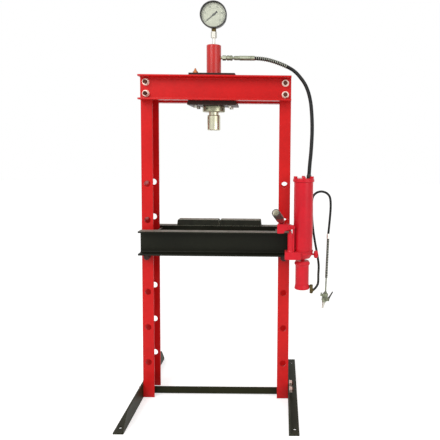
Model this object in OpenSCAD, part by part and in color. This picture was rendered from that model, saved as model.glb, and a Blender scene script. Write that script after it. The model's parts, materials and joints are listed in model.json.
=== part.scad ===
// Twenty-ton H-frame shop press with an air-over-hydraulic pump, a gauge and a height-adjustable bed.
// Millimetres. X runs across the frame, -Y is the front, +Z is up, and the origin is on the floor
// under the middle of the frame.

/* [Frame] */
// Distance between the outer faces of the two columns
frame_w = 620; // [560:5:700]
// Height of the head beams' top above the floor
frame_h = 1366; // [1300:2:1500]
// Depth of a column, from its front flange to its rear flange
column_depth = 116; // [110:1:140]
// Width of a column's flanges
column_flange = 48; // [46:1:60]
// Thickness of a column's web and flanges
column_t = 6; // [5:0.5:8]
// Gap between the cut end of a column and the floor
column_lift = 2; // [1:1:12]
// Height of the head and bed beams
beam_h = 100; // [94:2:116]
// Width of the head and bed beams' flanges
beam_flange = 48; // [44:1:60]
// Web thickness of the head and bed beams
beam_web_t = 6; // [5:0.5:8]
// Flange thickness of the head and bed beams
beam_flange_t = 7; // [6:0.5:9]

/* [Bed and pins] */
// Height of the highest pin hole above the floor
pin_hole_top = 921; // [900:1:960]
// Distance between pin holes
pin_pitch = 153; // [140:1:156]
// Number of pin holes in each column flange
pin_holes = 6; // [4:1:6]
// Pin hole that carries the bed, counted from the top
bed_hole = 3; // [3:1:4]
// Diameter of a bed pin
pin_d = 25; // [20:1:28]
// How far a bed pin reaches past the bed beam's web
pin_reach = 22; // [12:1:48]
// How much shorter than the frame's width the bed beams are
bed_short = 0; // [-2:1:40]
// Sideways play that the bed has settled to
bed_shift = -4; // [-6:1:0]
// Gap between the bed beams and the column flanges
bed_gap = 1; // [0.5:0.5:4]
// Length of one arbor plate
plate_len = 186; // [150:2:200]
// Depth of one arbor plate
plate_depth = 48; // [40:1:60]
// Height of one arbor plate
plate_h = 27; // [18:1:40]

/* [Feet and brace] */
// Length of a foot, front to rear
foot_len = 682; // [560:2:760]
// Width of the foot's leg on the floor
foot_w = 40; // [36:1:60]
// Height of the foot's upright leg
foot_h = 63; // [60:1:80]
// Thickness of the foot's angle bar
foot_t = 5; // [4:0.5:8]
// Height of the feet's bolts above the floor
foot_bolt_z = 28; // [26:1:44]
// Size of the brace's angle bar
brace_size = 30; // [25:1:40]
// Thickness of the brace's angle bar
brace_t = 4; // [3:0.5:6]

/* [Press cylinder] */
// Sideways place of the cylinder
ram_x = -16; // [-60:1:60]
// Outside diameter of the barrel
barrel_d = 61; // [58:1:66]
// Bore of the barrel
barrel_bore = 46; // [44.5:0.5:48]
// Height of the barrel above the head beams
barrel_above = 136; // [124:1:170]
// Height of the barrel's top cap
barrel_cap_h = 14; // [10:1:20]
// Diameter of the ram
ram_d = 42; // [38:0.5:43]
// Diameter of the ram's nose
nose_d = 55; // [48:1:60]
// Length of the ram's nose
nose_h = 64; // [40:1:70]
// Working stroke of the ram
ram_stroke = 150; // [100:5:150]
// Diameter of the lock ring under the head
ring_d = 94; // [86:1:110]
// Height of the lock ring
ring_h = 25; // [18:1:30]
// Width of the upper clamp plate
upper_plate_w = 190; // [180:2:220]
// Thickness of the upper clamp plate
upper_plate_t = 12; // [10:1:16]
// Width of the lower clamp plate
lower_plate_w = 200; // [190:2:230]
// Thickness of the lower clamp plate
lower_plate_t = 18; // [12:1:25]
// Depth of both clamp plates
clamp_depth = 150; // [140:2:200]

/* [Gauge] */
// Diameter of the gauge's bezel
gauge_d = 112; // [90:1:130]
// Depth of the gauge's case
gauge_depth = 36; // [30:1:50]
// Height of the gauge's centre above the barrel
gauge_rise = 123; // [118:1:170]
// Angle of the zero mark, turned from the right
gauge_zero = 220; // [210:1:235]

/* [Pump] */
// Distance from the column's outer face to the pump's axis
pump_out = 53; // [50:1:70]
// Distance from the column's front face to the pump's axis
pump_front = 72; // [70:1:90]
// Height of the pump base's underside
pump_z = 631; // [629:1:650]
// Height of the pump's cast base
base_h = 31; // [28:1:36]
// Diameter of the oil tank
tank_d = 77; // [70:1:80]
// Height of the oil tank
tank_h = 278; // [240:2:320]
// How far the tank's cap stands out past the tank
cap_lip = 4.5; // [3:0.5:7]
// Sideways gap between the tank's wall and the hand plunger's axis
plunger_gap = 13.5; // [13:0.5:20]
// Distance from the tank's axis forward to the hand plunger's axis
plunger_front = 34; // [33:1:45]
// Diameter of the hand plunger
plunger_d = 8; // [6:0.5:9]
// Distance from the plunger to the lever's fulcrum
lever_arm = 12; // [11:0.5:13]
// Height of the lever's fulcrum above the base's top
lever_rise = 99; // [80:1:110]
// Outside diameter of the handle socket
socket_d = 32; // [30:1:36]
// Bore of the handle socket
socket_bore = 25; // [22:0.5:27]
// Diameter of the release valve's knob
knob_d = 31; // [26:1:36]
// Diameter of the air motor's body
motor_d = 55; // [48:1:60]
// Height of the air motor, from flange to foot
motor_h = 116; // [100:1:130]

/* [Hoses] */
// Diameter of the hydraulic hose
hose_d = 15; // [12:0.5:16]
// Diameter of the air hose
air_hose_d = 9.5; // [7:0.5:10]

/* [Hidden] */

$fn = 64;

RED = [0.80, 0.15, 0.15];
CRIMSON = [0.78, 0.11, 0.18];
BLACK = [0.16, 0.16, 0.14];
OLIVE = [0.22, 0.22, 0.17];
STEEL = [0.74, 0.74, 0.70];
ZINC = [0.80, 0.79, 0.74];
BRASS = [0.62, 0.45, 0.24];
RUBBER = [0.07, 0.07, 0.07];

// Clearances: a seat where two parts touch, a running fit, a bolt in its hole, a screw in its thread
seat = 0.3;
run_fit = 0.05;
bolt_play = 0.5;
thread_play = 0.05;

// Bolts and nuts of the frame, M16
bolt_d = 16;
bolt_len = 35;
bolt_head_af = 24;
bolt_head_h = 10;
nut_h = 13;
nut_flange_d = 29;
nut_flange_h = 3;
bolt_hole_d = bolt_d + 2 * bolt_play;
af_to_d = 2 / sqrt(3);

// Short screws of the pump, M8
screw_d = 8;
screw_len = 25;
screw_head_af = 13;
screw_head_h = 8;

column_x = frame_w / 2 - column_flange / 2;
column_root = column_flange / 2 - column_t - bolt_head_af / 2;
column_top = frame_h - 5;
head_bottom = frame_h - beam_h;
head_mid = frame_h - beam_h / 2;
beam_root = 5;
head_bolt_rise = beam_h / 2 - beam_flange_t - beam_root - nut_flange_d / 2;

pin_hole_d = pin_d + 2 * bolt_play;
bed_len = frame_w - bed_short;
bed_pin_z = pin_hole_top - (bed_hole - 1) * pin_pitch - (bolt_play - seat);
bed_bottom = bed_pin_z + pin_d / 2 + seat;
bed_top = bed_bottom + beam_h;
bed_mid = bed_bottom + beam_h / 2;
bed_web_y = column_depth / 2 + bed_gap;
tie_t = 8;
tie_x = frame_w / 2 - column_flange - 4 - tie_t;

foot_bolt_y = column_depth / 2 - column_t - 22;
floor_hole_d = 14;
floor_hole_x = frame_w / 2 + foot_w / 2 + 3;
floor_hole_y = foot_len / 2 - 40;
web_in_x = frame_w / 2 - column_t;
tab_t = 5;
brace_z = 5;
brace_y = 26 - column_depth / 2 + column_t;

barrel_top = frame_h + barrel_above;
lower_plate_z = head_bottom - lower_plate_t;
ring_z = lower_plate_z - ring_h;
barrel_bottom = ring_z;
guide_h = 36;
wiper_h = 6;
wiper_d = ram_d + 8;
piston_h = 22;
seal_z = 13;
seal_h = 5;
seal_in_d = barrel_bore - 8;
cap_spigot = 12;
ram_floor = 15;
piston_top = barrel_bottom + wiper_h + guide_h + 1 + ram_stroke + piston_h;
nose_top = barrel_bottom - 13;
nose_bottom = nose_top - nose_h;
ram_bore = 28;
gauge_port_d = 10;
port_z = frame_h + 84;
port_d = 12;
coupler_len = 54;

clamp_bolt_d = 10;
clamp_bolt_x = 71;
clamp_bolt_y = 42;
clamp_head_d = 16;
clamp_head_h = 10;
clamp_key_af = 8;
clamp_key_h = 5;

gauge_z = barrel_top + gauge_rise;
case_d = gauge_d - 6;
case_wall = 2.5;
stem_h = 15;
stem_neck_d = 11;
spindle_d = 4;
adaptor_top = gauge_z - case_d / 2 - stem_h;

pump_x = frame_w / 2 + pump_out;
pump_y = -column_depth / 2 - pump_front;
base_top = pump_z + base_h;
tank_top = base_top + tank_h;
tank_wall = 3;
cap_d = tank_d + 2 * cap_lip;
cap_t = 14;
cap_top = tank_top + cap_t;
cap_screw_r = tank_d / 2 - 5.5;
tank_ring_d = tank_d - 33;
fitting_at = [pump_x + 22, pump_y + 18];
fitting_d = 12;
fitting_seat = 8;
plunger_x = pump_x - tank_d / 2 - plunger_gap;
plunger_y = pump_y - plunger_front;
fulcrum_x = plunger_x + lever_arm;
fulcrum_z = base_top + lever_rise;
hand_barrel_d = 22;
hand_barrel_top = fulcrum_z - 26;
gland_h = 10;
gland_d = 11;
gland_seat = 6;
gland_seat_d = 10;
lever_pin_d = 5;
fork_gap = 12;
cheek_t = 4.5;
ear_r = 7;
socket_len = 89;
socket_bore_from = 35;
socket_turn = 252;
socket_lean = 60;
base_pad_y = pump_y + cap_d / 2 - 1;
bracket_t = 8;
bracket_h = 28;
bracket_z = pump_z + base_h / 2;
bracket_screw_y = 20;
pad_screw_x = 14;
bracket_half = 42;
bracket_over = 30;
valve_z = pump_z + 14;
valve_stem_d = 8;
motor_x = pump_x - 2;
motor_spigot_d = 12;
motor_top = pump_z - 12;
motor_bottom = motor_top - motor_h;
motor_cap_h = 20;
elbow_z = motor_bottom + 9;
elbow_d = 11;

// The hydraulic hose from its ferrule to the pump, as its centre line
HOSE_ROUTE = [
    [156, 0, 1450], [200, -1, 1446], [246, -3, 1434], [292, -8, 1415], [324, -14, 1395],
    [348, -24, 1369], [368, -34, 1339], [382, -44, 1304], [391, -54, 1263], [395, -62, 1222],
    [397, -71, 1180], [397, -80, 1138], [395, -91, 1096], [392, -101, 1054], [388, -108, 1012],
    [385, -112, 970]
];
// The air hose from the air motor's elbow, up behind the tank and down to the hand valve's collar
AIR_ROUTE = [
    [409, -130, 499], [417, -130, 507], [425, -127, 519], [428, -121, 532], [429, -108, 556],
    [431, -91, 592], [425, -77, 636], [416, -68, 684], [408, -63, 735], [403, -60, 786],
    [402, -60, 828], [402, -60, 856], [407, -60, 876], [421, -60, 890], [440, -60, 895],
    [460, -60, 890], [474, -60, 876], [479, -60, 856], [480, -60, 826], [478, -60, 790],
    [475, -60, 752], [472, -60, 718]
];
guard_rings = 7;
hose_steps = 2;
air_steps = 2;

air_drop_x = 472;
air_drop_y = -60;
drop_tilt = 1.8;
collar_top = 718;
collar_h = 21;
air_guard_len = 166;
stem_d = 6;
stem_len = 68;
valve_drop = collar_h + air_guard_len + stem_len;
valve_tilt = 8.2;
valve_h = 31;
valve_w = 22;
valve_foot_h = 6;
nipple_d = 9;
thumb_x = valve_w / 2 + 5;
thumb_rise = 8;
thumb_pin_d = 4;
barb_tilt = 40;

// ---------- paths and tubes ----------

function unit(v) = v / norm(v);

function blend(a, b, c, d, t) =
    0.5 * (2 * b + (c - a) * t + (2 * a - 5 * b + 4 * c - d) * t * t + (3 * b - a - 3 * c + d) * t * t * t);

function smooth(points, steps) = [
    for (i = [0 : len(points) - 2])
        for (k = [0 : steps - 1])
            blend(points[max(i - 1, 0)], points[i], points[i + 1], points[min(i + 2, len(points) - 1)],
                k / steps),
    points[len(points) - 1]
];

function tangent(path, ends, i) =
    i == 0 ? ends[0]
    : i == len(path) - 1 ? unit(ends[1] == undef ? path[i] - path[i - 1] : ends[1])
    : unit(path[i + 1] - path[i - 1]);

function ring(path, ends, i, radius, sides, side_of) =
    let (
        t = tangent(path, ends, i),
        u = unit(cross(t, side_of)),
        v = cross(t, u)
    )
    [for (k = [0 : sides - 1]) path[i] + radius * (cos(360 * k / sides) * u + sin(360 * k / sides) * v)];

function rings(path, ends, radius, sides, side_of) =
    [for (i = [0 : len(path) - 1]) each ring(path, ends, i, radius, sides, side_of)];

function skin(count, sides, start, flip) = [
    for (i = [0 : count - 2])
        for (k = [0 : sides - 1])
            let (
                a = start + i * sides + k,
                b = start + i * sides + (k + 1) % sides,
                face = [a, b, b + sides, a + sides]
            )
            flip ? [face[3], face[2], face[1], face[0]] : face
];

// A solid round rod along a path; its two ends are square to the directions given
module rod_along(path, ends, radius, sides, side_of = [0, 1, 0]) {
    last = (len(path) - 1) * sides;
    polyhedron(
        rings(path, ends, radius, sides, side_of),
        concat(
            [[for (k = [sides - 1 : -1 : 0]) k]],
            skin(len(path), sides, 0, false),
            [[for (k = [0 : sides - 1]) last + k]]
        )
    );
}

// A hollow tube along a path, open at both ends
module tube_along(path, ends, outer, inner, sides, side_of = [0, 1, 0]) {
    n = len(path);
    shift = n * sides;
    last = (n - 1) * sides;
    polyhedron(
        concat(rings(path, ends, outer, sides, side_of), rings(path, ends, inner, sides, side_of)),
        concat(
            skin(n, sides, 0, false),
            skin(n, sides, shift, true),
            [for (k = [0 : sides - 1]) [(k + 1) % sides, k, shift + k, shift + (k + 1) % sides]],
            [for (k = [0 : sides - 1])
                [last + k, last + (k + 1) % sides, last + shift + (k + 1) % sides, last + shift + k]]
        )
    );
}

// ---------- shared shapes ----------

// Rolled channel section: web on the Y axis, flanges to +X, rounded roots and toes
module channel_section(depth, flange, web_t, flange_t, root) {
    toe = flange_t / 2;
    inside = depth / 2 - flange_t;
    difference() {
        translate([0, -depth / 2]) square([flange, depth]);
        translate([web_t + root, -inside]) square([flange, 2 * inside]);
        translate([web_t, root - inside]) square([2 * root, 2 * (inside - root)]);
        for (side = [-1, 1]) {
            translate([web_t + root, side * (inside - root)]) circle(root, $fn = 32);
            translate([flange - toe, side * inside - toe * (1 - side) / 2]) difference() {
                square([toe + 1, toe]);
                translate([0, toe * (1 + side) / 2]) circle(toe, $fn = 32);
            }
        }
    }
}

// Channel beam along X with its web's back at Y = 0 and its flanges to +Y
module beam(length) {
    rotate([90, 0, 90]) linear_extrude(length, center = true)
        channel_section(beam_h, beam_flange, beam_web_t, beam_flange_t, beam_root);
}

// Bore along X or Y through a point
module bore_x(d, length) {
    rotate([0, 90, 0]) cylinder(d = d, h = length, center = true);
}

module bore_y(d, length) {
    rotate([90, 0, 0]) cylinder(d = d, h = length, center = true);
}

// Rectangle with round corners, centred
module round_rect(w, d, r) {
    square([w - 2 * r, d], center = true);
    square([w, d - 2 * r], center = true);
    for (x = [-1, 1], y = [-1, 1])
        translate([x * (w / 2 - r), y * (d / 2 - r)]) circle(r, $fn = 32);
}

// Hexagon prism with chamfered corners at its top
module hex_body(af, h) {
    intersection() {
        cylinder(d = af * af_to_d, h = h, $fn = 6);
        cylinder(r1 = af * 0.5 + h * 1.8, r2 = af * 0.5, h = h);
    }
}

// Hexagon bolt: its seat at z = 0, its head above and its shank below
module hex_bolt(d, length, af, head_h) {
    hex_body(af, head_h);
    translate([0, 0, -length]) cylinder(d = d, h = length + 1);
}

// Flanged nut that sits on z = 0
module flange_nut() {
    difference() {
        union() {
            cylinder(d = nut_flange_d, h = nut_flange_h);
            hex_body(bolt_head_af, nut_h);
        }
        translate([0, 0, -1]) cylinder(d = bolt_d + 2 * thread_play, h = nut_h + 2);
    }
}

// ---------- frame ----------

module at_head_bolts() {
    for (x = [-1, 1], face = [-1, 1], z = [-1, 1])
        translate([x * column_x, face * column_depth / 2, head_mid + z * head_bolt_rise])
            rotate([face * -90, 0, 0]) children();
}

module at_foot_bolts() {
    for (side = [-1, 1], y = [-1, 1])
        translate([side * frame_w / 2, y * foot_bolt_y, foot_bolt_z])
            rotate([0, side * 90, 0]) children();
}

// Left-hand column; the right-hand one is its mirror image with the pump's screw holes
module column_body() {
    difference() {
        translate([-frame_w / 2, 0, column_lift]) linear_extrude(column_top - column_lift)
            channel_section(column_depth, column_flange, column_t, column_t, column_root);
        for (k = [0 : pin_holes - 1])
            translate([-column_x, 0, pin_hole_top - k * pin_pitch]) bore_y(pin_hole_d, column_depth + 2);
        at_head_bolts() translate([0, 0, -column_t - 2]) cylinder(d = bolt_hole_d, h = column_t + 4);
        at_foot_bolts() translate([0, 0, -column_t - 2]) cylinder(d = bolt_hole_d, h = column_t + 4);
    }
}

module left_column() {
    color(RED) column_body();
}

module right_column() {
    color(RED) difference() {
        mirror([1, 0, 0]) column_body();
        for (y = [-1, 1])
            translate([frame_w / 2, y * bracket_screw_y, bracket_z])
                bore_x(screw_d + 2 * thread_play, 4 * column_t);
    }
}

module head_beam_body() {
    difference() {
        translate([0, column_depth / 2, head_mid]) beam(frame_w);
        at_head_bolts() translate([0, 0, -1]) cylinder(d = bolt_hole_d, h = beam_web_t + 2);
    }
}

module head_rear_beam() {
    color(RED) head_beam_body();
}

module head_front_beam() {
    color(RED) mirror([0, 1, 0]) head_beam_body();
}

module frame_bolts() {
    color(OLIVE) {
        at_head_bolts() translate([0, 0, -column_t]) mirror([0, 0, 1]) rotate([0, 0, 30])
            hex_bolt(bolt_d, bolt_len, bolt_head_af, bolt_head_h);
        at_foot_bolts() translate([0, 0, -column_t - tab_t]) mirror([0, 0, 1])
            hex_bolt(bolt_d, bolt_len, bolt_head_af, bolt_head_h);
    }
}

module frame_nuts() {
    color(ZINC) {
        at_head_bolts() translate([0, 0, beam_web_t]) flange_nut();
        at_foot_bolts() translate([0, 0, foot_t]) flange_nut();
    }
}

// Angle-bar foot outside the right-hand column; its upright leg has sloping ends
module foot_body() {
    slope = foot_h - 2 * foot_t;
    difference() {
        translate([frame_w / 2, foot_len / 2, 0]) rotate([90, 0, 0]) linear_extrude(foot_len) difference() {
            square([foot_w, foot_h]);
            translate([2 * foot_t, foot_t]) square([foot_w, foot_h]);
            translate([foot_t, 2 * foot_t]) square([foot_w, foot_h]);
            translate([2 * foot_t, 2 * foot_t]) circle(foot_t, $fn = 32);
        }
        for (end = [-1, 1])
            translate([frame_w / 2 - 1, end * foot_len / 2, foot_h]) rotate([90, 0, 90])
                linear_extrude(foot_t + 2)
                    polygon([[end, 1], [-end * slope, 1], [-end * slope, 0], [0, -slope], [end, -slope]]);
        at_foot_bolts() translate([0, 0, -1]) cylinder(d = bolt_hole_d, h = foot_t + 2);
        for (y = [-1, 1])
            translate([floor_hole_x, y * floor_hole_y, -1]) cylinder(d = floor_hole_d, h = foot_t + 2);
    }
}

module right_foot() {
    color(OLIVE) foot_body();
}

module left_foot() {
    color(OLIVE) mirror([1, 0, 0]) foot_body();
}

// Angle bar between the columns; each end is coped round a bolt's head and welded to a tab
module base_brace() {
    half = web_in_x - tab_t;
    tab_h = 54;
    tab_w = column_depth - 2 * column_t - 2 * column_root - 2;
    head_room = 2;
    cope_d = bolt_head_af * af_to_d + 2 * head_room;
    color(OLIVE) difference() {
        union() {
            translate([-half, brace_y, brace_z]) cube([2 * half, brace_t, brace_size]);
            translate([-half, brace_y, brace_z]) cube([2 * half, brace_size, brace_t]);
            for (side = [-1, 1])
                translate([side * (half + tab_t / 2), 0, brace_z + tab_h / 2])
                    cube([tab_t, tab_w, tab_h], center = true);
        }
        at_foot_bolts() translate([0, 0, -column_t - tab_t - 1]) cylinder(d = bolt_hole_d, h = tab_t + 2);
        at_foot_bolts() translate([0, 0, -column_t - tab_t - bolt_head_h - head_room])
            cylinder(d = cope_d, h = bolt_head_h + head_room);
    }
}

// ---------- bed ----------

module bed_rear_beam() {
    color(BLACK) translate([bed_shift, bed_web_y, bed_mid]) beam(bed_len);
}

module bed_front_beam() {
    color(BLACK) translate([bed_shift, -bed_web_y, bed_mid]) mirror([0, 1, 0]) beam(bed_len);
}

// Two plates welded between the bed beams, just inside the columns
module bed_tie_plates() {
    color(BLACK)
        for (side = [-1, 1])
            translate([side * (tie_x + tie_t / 2), 0, bed_mid])
                cube([tie_t, 2 * bed_web_y, beam_h - 20], center = true);
}

// Cast plate with sloping ends and a V notch in each, on the rear beam's flange
module arbor_plate() {
    draft = 2.5;
    notch = 16;
    corner = 3;
    difference() {
        translate([0, plate_depth, 0]) rotate([90, 0, 0]) linear_extrude(plate_depth)
            polygon([
                [0, 0], [plate_len, 0], [plate_len - draft, plate_h - corner],
                [plate_len - draft - corner, plate_h], [draft + corner, plate_h], [draft, plate_h - corner]
            ]);
        for (end = [0, 1])
            translate([end * plate_len, plate_depth / 2, -1]) rotate([0, 0, end * 180])
                linear_extrude(plate_h + 2)
                    polygon([[-1, -notch * 0.6], [notch, 0], [-1, notch * 0.6]]);
    }
}

module arbor_plate_left() {
    color(BLACK) translate([-plate_len, bed_web_y, bed_top]) arbor_plate();
}

module arbor_plate_right() {
    color(BLACK) translate([0, bed_web_y, bed_top]) arbor_plate();
}

// Plain turned pin with chamfered ends and a finger groove near each
module bed_pin() {
    half = bed_web_y + pin_reach;
    chamfer = 3;
    groove = 1.5;
    groove_from = 9;
    r = pin_d / 2;
    profile = [
        [r - chamfer, 0], [r, chamfer], [r, groove_from], [r - groove, groove_from + groove],
        [r - groove, groove_from + 2 * groove], [r, groove_from + 3 * groove]
    ];
    rotate([-90, 0, 0]) rotate_extrude() polygon(concat(
        [[0, -half]],
        [for (p = profile) [p[0], p[1] - half]],
        [for (k = [len(profile) - 1 : -1 : 0]) [profile[k][0], half - profile[k][1]]],
        [[0, half]]
    ));
}

module bed_pin_left() {
    color(BLACK) translate([-column_x, 0, bed_pin_z]) bed_pin();
}

module bed_pin_right() {
    color(BLACK) translate([column_x, 0, bed_pin_z]) bed_pin();
}

// ---------- press cylinder ----------

module at_clamp_bolts() {
    for (x = [-1, 1], y = [-1, 1])
        translate([ram_x + x * clamp_bolt_x, y * clamp_bolt_y, 0]) children();
}

module upper_clamp_plate() {
    color(BLACK) difference() {
        translate([ram_x, 0, frame_h]) linear_extrude(upper_plate_t)
            round_rect(upper_plate_w, clamp_depth, 6);
        translate([ram_x, 0, frame_h - 1]) cylinder(d = barrel_d + 2 * seat, h = upper_plate_t + 2);
        at_clamp_bolts() translate([0, 0, frame_h - 1])
            cylinder(d = clamp_bolt_d + 2 * thread_play, h = upper_plate_t + 2);
    }
}

module lower_clamp_plate() {
    bevel = 5;
    half = lower_plate_w / 2;
    color(BLACK) difference() {
        translate([ram_x, clamp_depth / 2, lower_plate_z]) rotate([90, 0, 0]) linear_extrude(clamp_depth)
            polygon([
                [-half, 0], [half, 0], [half, lower_plate_t / 3], [half - bevel, lower_plate_t],
                [bevel - half, lower_plate_t], [-half, lower_plate_t / 3]
            ]);
        translate([ram_x, 0, lower_plate_z - 1]) cylinder(d = barrel_d + 2 * seat, h = lower_plate_t + 2);
        at_clamp_bolts() translate([0, 0, lower_plate_z - 1])
            cylinder(d = clamp_bolt_d + 2 * bolt_play, h = lower_plate_t + 2);
    }
}

// Socket-head bolts from below, screwed into the upper plate; the front left one carries a cap nut
module clamp_bolts() {
    length = frame_h + upper_plate_t - lower_plate_z;
    color(OLIVE) for (x = [-1, 1], y = [-1, 1])
        translate([ram_x + x * clamp_bolt_x, y * clamp_bolt_y, lower_plate_z]) {
            cylinder(d = clamp_bolt_d, h = length + (x < 0 && y < 0 ? 12 : 0));
            difference() {
                translate([0, 0, -clamp_head_h]) cylinder(d = clamp_head_d, h = clamp_head_h);
                translate([0, 0, -clamp_head_h - 1])
                    cylinder(d = clamp_key_af * af_to_d, h = clamp_key_h + 1, $fn = 6);
            }
        }
}

// Domed brass nut on the front left clamp bolt
module clamp_cap_nut() {
    af = 19;
    body = 9;
    rise = 13;
    color(BRASS) translate([ram_x - clamp_bolt_x, -clamp_bolt_y, frame_h + upper_plate_t]) difference() {
        union() {
            hex_body(af, body);
            translate([0, 0, body - 1]) cylinder(d1 = af - 3, d2 = 5, h = rise + 1);
        }
        translate([0, 0, -1]) cylinder(d = clamp_bolt_d + 2 * thread_play, h = 13.3);
    }
}

module ram_cylinder() {
    wall_end = barrel_top - barrel_cap_h;
    color(RED) difference() {
        translate([ram_x, 0, barrel_bottom]) cylinder(d = barrel_d, h = wall_end - barrel_bottom, $fn = 96);
        translate([ram_x, 0, barrel_bottom + wiper_h + guide_h]) cylinder(d = barrel_bore, h = wall_end);
        translate([ram_x, 0, barrel_bottom - 1])
            cylinder(d = ram_d + 2 * run_fit, h = guide_h + wiper_h + 2);
        translate([ram_x, 0, barrel_bottom - 1]) cylinder(d = wiper_d, h = wiper_h + 1);
        translate([ram_x + barrel_d / 2, 0, port_z]) bore_x(port_d + 2 * thread_play, 30);
    }
}

// Cap with a spigot in the barrel and the gauge's port through its middle
module cylinder_cap() {
    color(RED) difference() {
        translate([ram_x, 0, 0]) union() {
            translate([0, 0, barrel_top - barrel_cap_h]) cylinder(d = barrel_d, h = barrel_cap_h - 2);
            translate([0, 0, barrel_top - 2]) cylinder(d1 = barrel_d, d2 = barrel_d - 4, h = 2);
            translate([0, 0, barrel_top - barrel_cap_h - cap_spigot])
                cylinder(d = barrel_bore - 2 * run_fit, h = cap_spigot + 1);
        }
        translate([ram_x, 0, barrel_top - 30]) cylinder(d = gauge_port_d, h = 40);
    }
}

// Threaded ring that clamps the barrel under the head; four spanner holes round its edge
module lock_ring() {
    color(STEEL) difference() {
        translate([ram_x, 0, ring_z]) rotate_extrude($fn = 96) polygon([
            [barrel_d / 2 + thread_play, 0], [ring_d / 2 - 2, 0], [ring_d / 2, 2], [ring_d / 2, ring_h - 2],
            [ring_d / 2 - 2, ring_h], [barrel_d / 2 + thread_play, ring_h]
        ]);
        for (turn = [0 : 3])
            translate([ram_x, 0, ring_z + ring_h / 2]) rotate([0, 0, 15 + 90 * turn - 135])
                translate([ring_d / 2, 0, 0]) bore_x(8, 20);
    }
}

// Hollow ram with its piston on top
module ram_rod() {
    color(STEEL) difference() {
        translate([ram_x, 0, 0]) union() {
            translate([0, 0, nose_top]) cylinder(d = ram_d, h = piston_top - nose_top, $fn = 96);
            translate([0, 0, piston_top - piston_h])
                cylinder(d = barrel_bore - 2 * run_fit, h = piston_h, $fn = 96);
        }
        translate([ram_x, 0, nose_top + ram_floor]) cylinder(d = ram_bore, h = piston_top);
        translate([ram_x, 0, piston_top - seal_z]) difference() {
            cylinder(d = barrel_bore + 2, h = seal_h);
            translate([0, 0, -1]) cylinder(d = seal_in_d, h = seal_h + 2);
        }
    }
}

// Nose of the ram, with a waist at its top and a chamfer round its face
module ram_nose() {
    color(STEEL) translate([ram_x, 0, nose_bottom]) rotate_extrude($fn = 96) polygon([
        [0, 0], [nose_d / 2 - 3, 0], [nose_d / 2, 3], [nose_d / 2, nose_h - 3],
        [nose_d / 2 - 3, nose_h], [0, nose_h]
    ]);
}

module piston_seal() {
    color(RUBBER) translate([ram_x, 0, piston_top - seal_z + seat / 2]) difference() {
        cylinder(d = barrel_bore - 2 * run_fit, h = seal_h - seat);
        translate([0, 0, -1]) cylinder(d = seal_in_d + 2 * run_fit, h = seal_h + 2);
    }
}

module rod_wiper() {
    color(RUBBER) translate([ram_x, 0, barrel_bottom]) difference() {
        cylinder(d = wiper_d - 2 * run_fit, h = wiper_h);
        translate([0, 0, -1]) cylinder(d = ram_d + 2 * run_fit, h = wiper_h + 2);
    }
}

// Tension spring inside the hollow ram, hung from the cap; its coils come from a helix
module return_spring() {
    top = barrel_top - barrel_cap_h - cap_spigot;
    bottom = nose_top + ram_floor + seat;
    coil_r = 9;
    wire_r = 1.8;
    turns = 24;
    steps = 10;
    path = [for (i = [0 : turns * steps])
        [
            ram_x + coil_r * cos(360 * i / steps),
            coil_r * sin(360 * i / steps),
            bottom + wire_r + (top - bottom - 2 * wire_r - seat) * i / (turns * steps)
        ]
    ];
    color(STEEL) rod_along(path, [[0, 1, 0], [0, 1, 0]], wire_r, 5, [0, 0, 1]);
}

// ---------- gauge ----------

// Thin steel tube with a hexagon at its top, screwed into the cap
module gauge_adaptor() {
    hex_h = 25;
    color(ZINC) translate([ram_x, 0, 0]) difference() {
        union() {
            translate([0, 0, barrel_top - 12]) cylinder(d = gauge_port_d - 2 * thread_play, h = 14);
            translate([0, 0, barrel_top]) cylinder(d = 12, h = adaptor_top - barrel_top);
            translate([0, 0, adaptor_top - hex_h]) cylinder(d = 22 * af_to_d, h = hex_h, $fn = 6);
            translate([0, 0, barrel_top]) cylinder(d = 18, h = 3);
        }
        translate([0, 0, barrel_top - 13]) cylinder(d = 4, h = 100);
        translate([0, 0, adaptor_top - 10]) cylinder(d = gauge_port_d, h = 11);
    }
}

module gauge_stem() {
    case_bottom = gauge_z - case_d / 2;
    color(BRASS) translate([ram_x, 0, adaptor_top]) {
        hex_body(17, case_bottom - adaptor_top - seat);
        cylinder(d = stem_neck_d, h = case_bottom - adaptor_top + 6);
        translate([0, 0, -8]) cylinder(d = gauge_port_d - 2 * thread_play, h = 9);
    }
}

module gauge_case() {
    color(BLACK) translate([ram_x, 0, gauge_z]) difference() {
        rotate([90, 0, 0]) rotate_extrude($fn = 96) polygon([
            [0, -gauge_depth / 2], [case_d / 2 - 4, -gauge_depth / 2],
            [case_d / 2, 4 - gauge_depth / 2], [case_d / 2, gauge_depth / 2 - 4],
            [case_d / 2 - case_wall, gauge_depth / 2 - 4],
            [case_d / 2 - case_wall, case_wall - gauge_depth / 2], [0, case_wall - gauge_depth / 2]
        ]);
        translate([0, 0, -case_d / 2 - 5]) cylinder(d = stem_neck_d + 4 * run_fit, h = 20);
    }
}

// Ring round the glass, with a small lug on its lower right edge
module gauge_bezel() {
    front = gauge_depth / 2 + 6;
    back = gauge_depth / 2 - 7;
    color(BLACK) translate([ram_x, 0, gauge_z]) rotate([90, 0, 0]) {
        rotate_extrude($fn = 96) polygon([
            [case_d / 2 - 5, front - 2], [case_d / 2 - 3, front], [gauge_d / 2 - 2, front],
            [gauge_d / 2, front - 2], [gauge_d / 2, back], [case_d / 2 + run_fit, back],
            [case_d / 2 + run_fit, front - 5.5], [case_d / 2 - 5, front - 5.5]
        ]);
        rotate([0, 0, -32]) translate([gauge_d / 2 - 1, -3, back + 2]) cube([4, 6, front - back - 6]);
    }
}

module gauge_glass() {
    front = gauge_depth / 2 + 0.5;
    color([0.85, 0.9, 0.88]) translate([ram_x, -front, gauge_z]) rotate([90, 0, 0])
        translate([0, 0, -2.5]) cylinder(d = case_d - 2 * seat, h = 2.5, $fn = 96);
}

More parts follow.
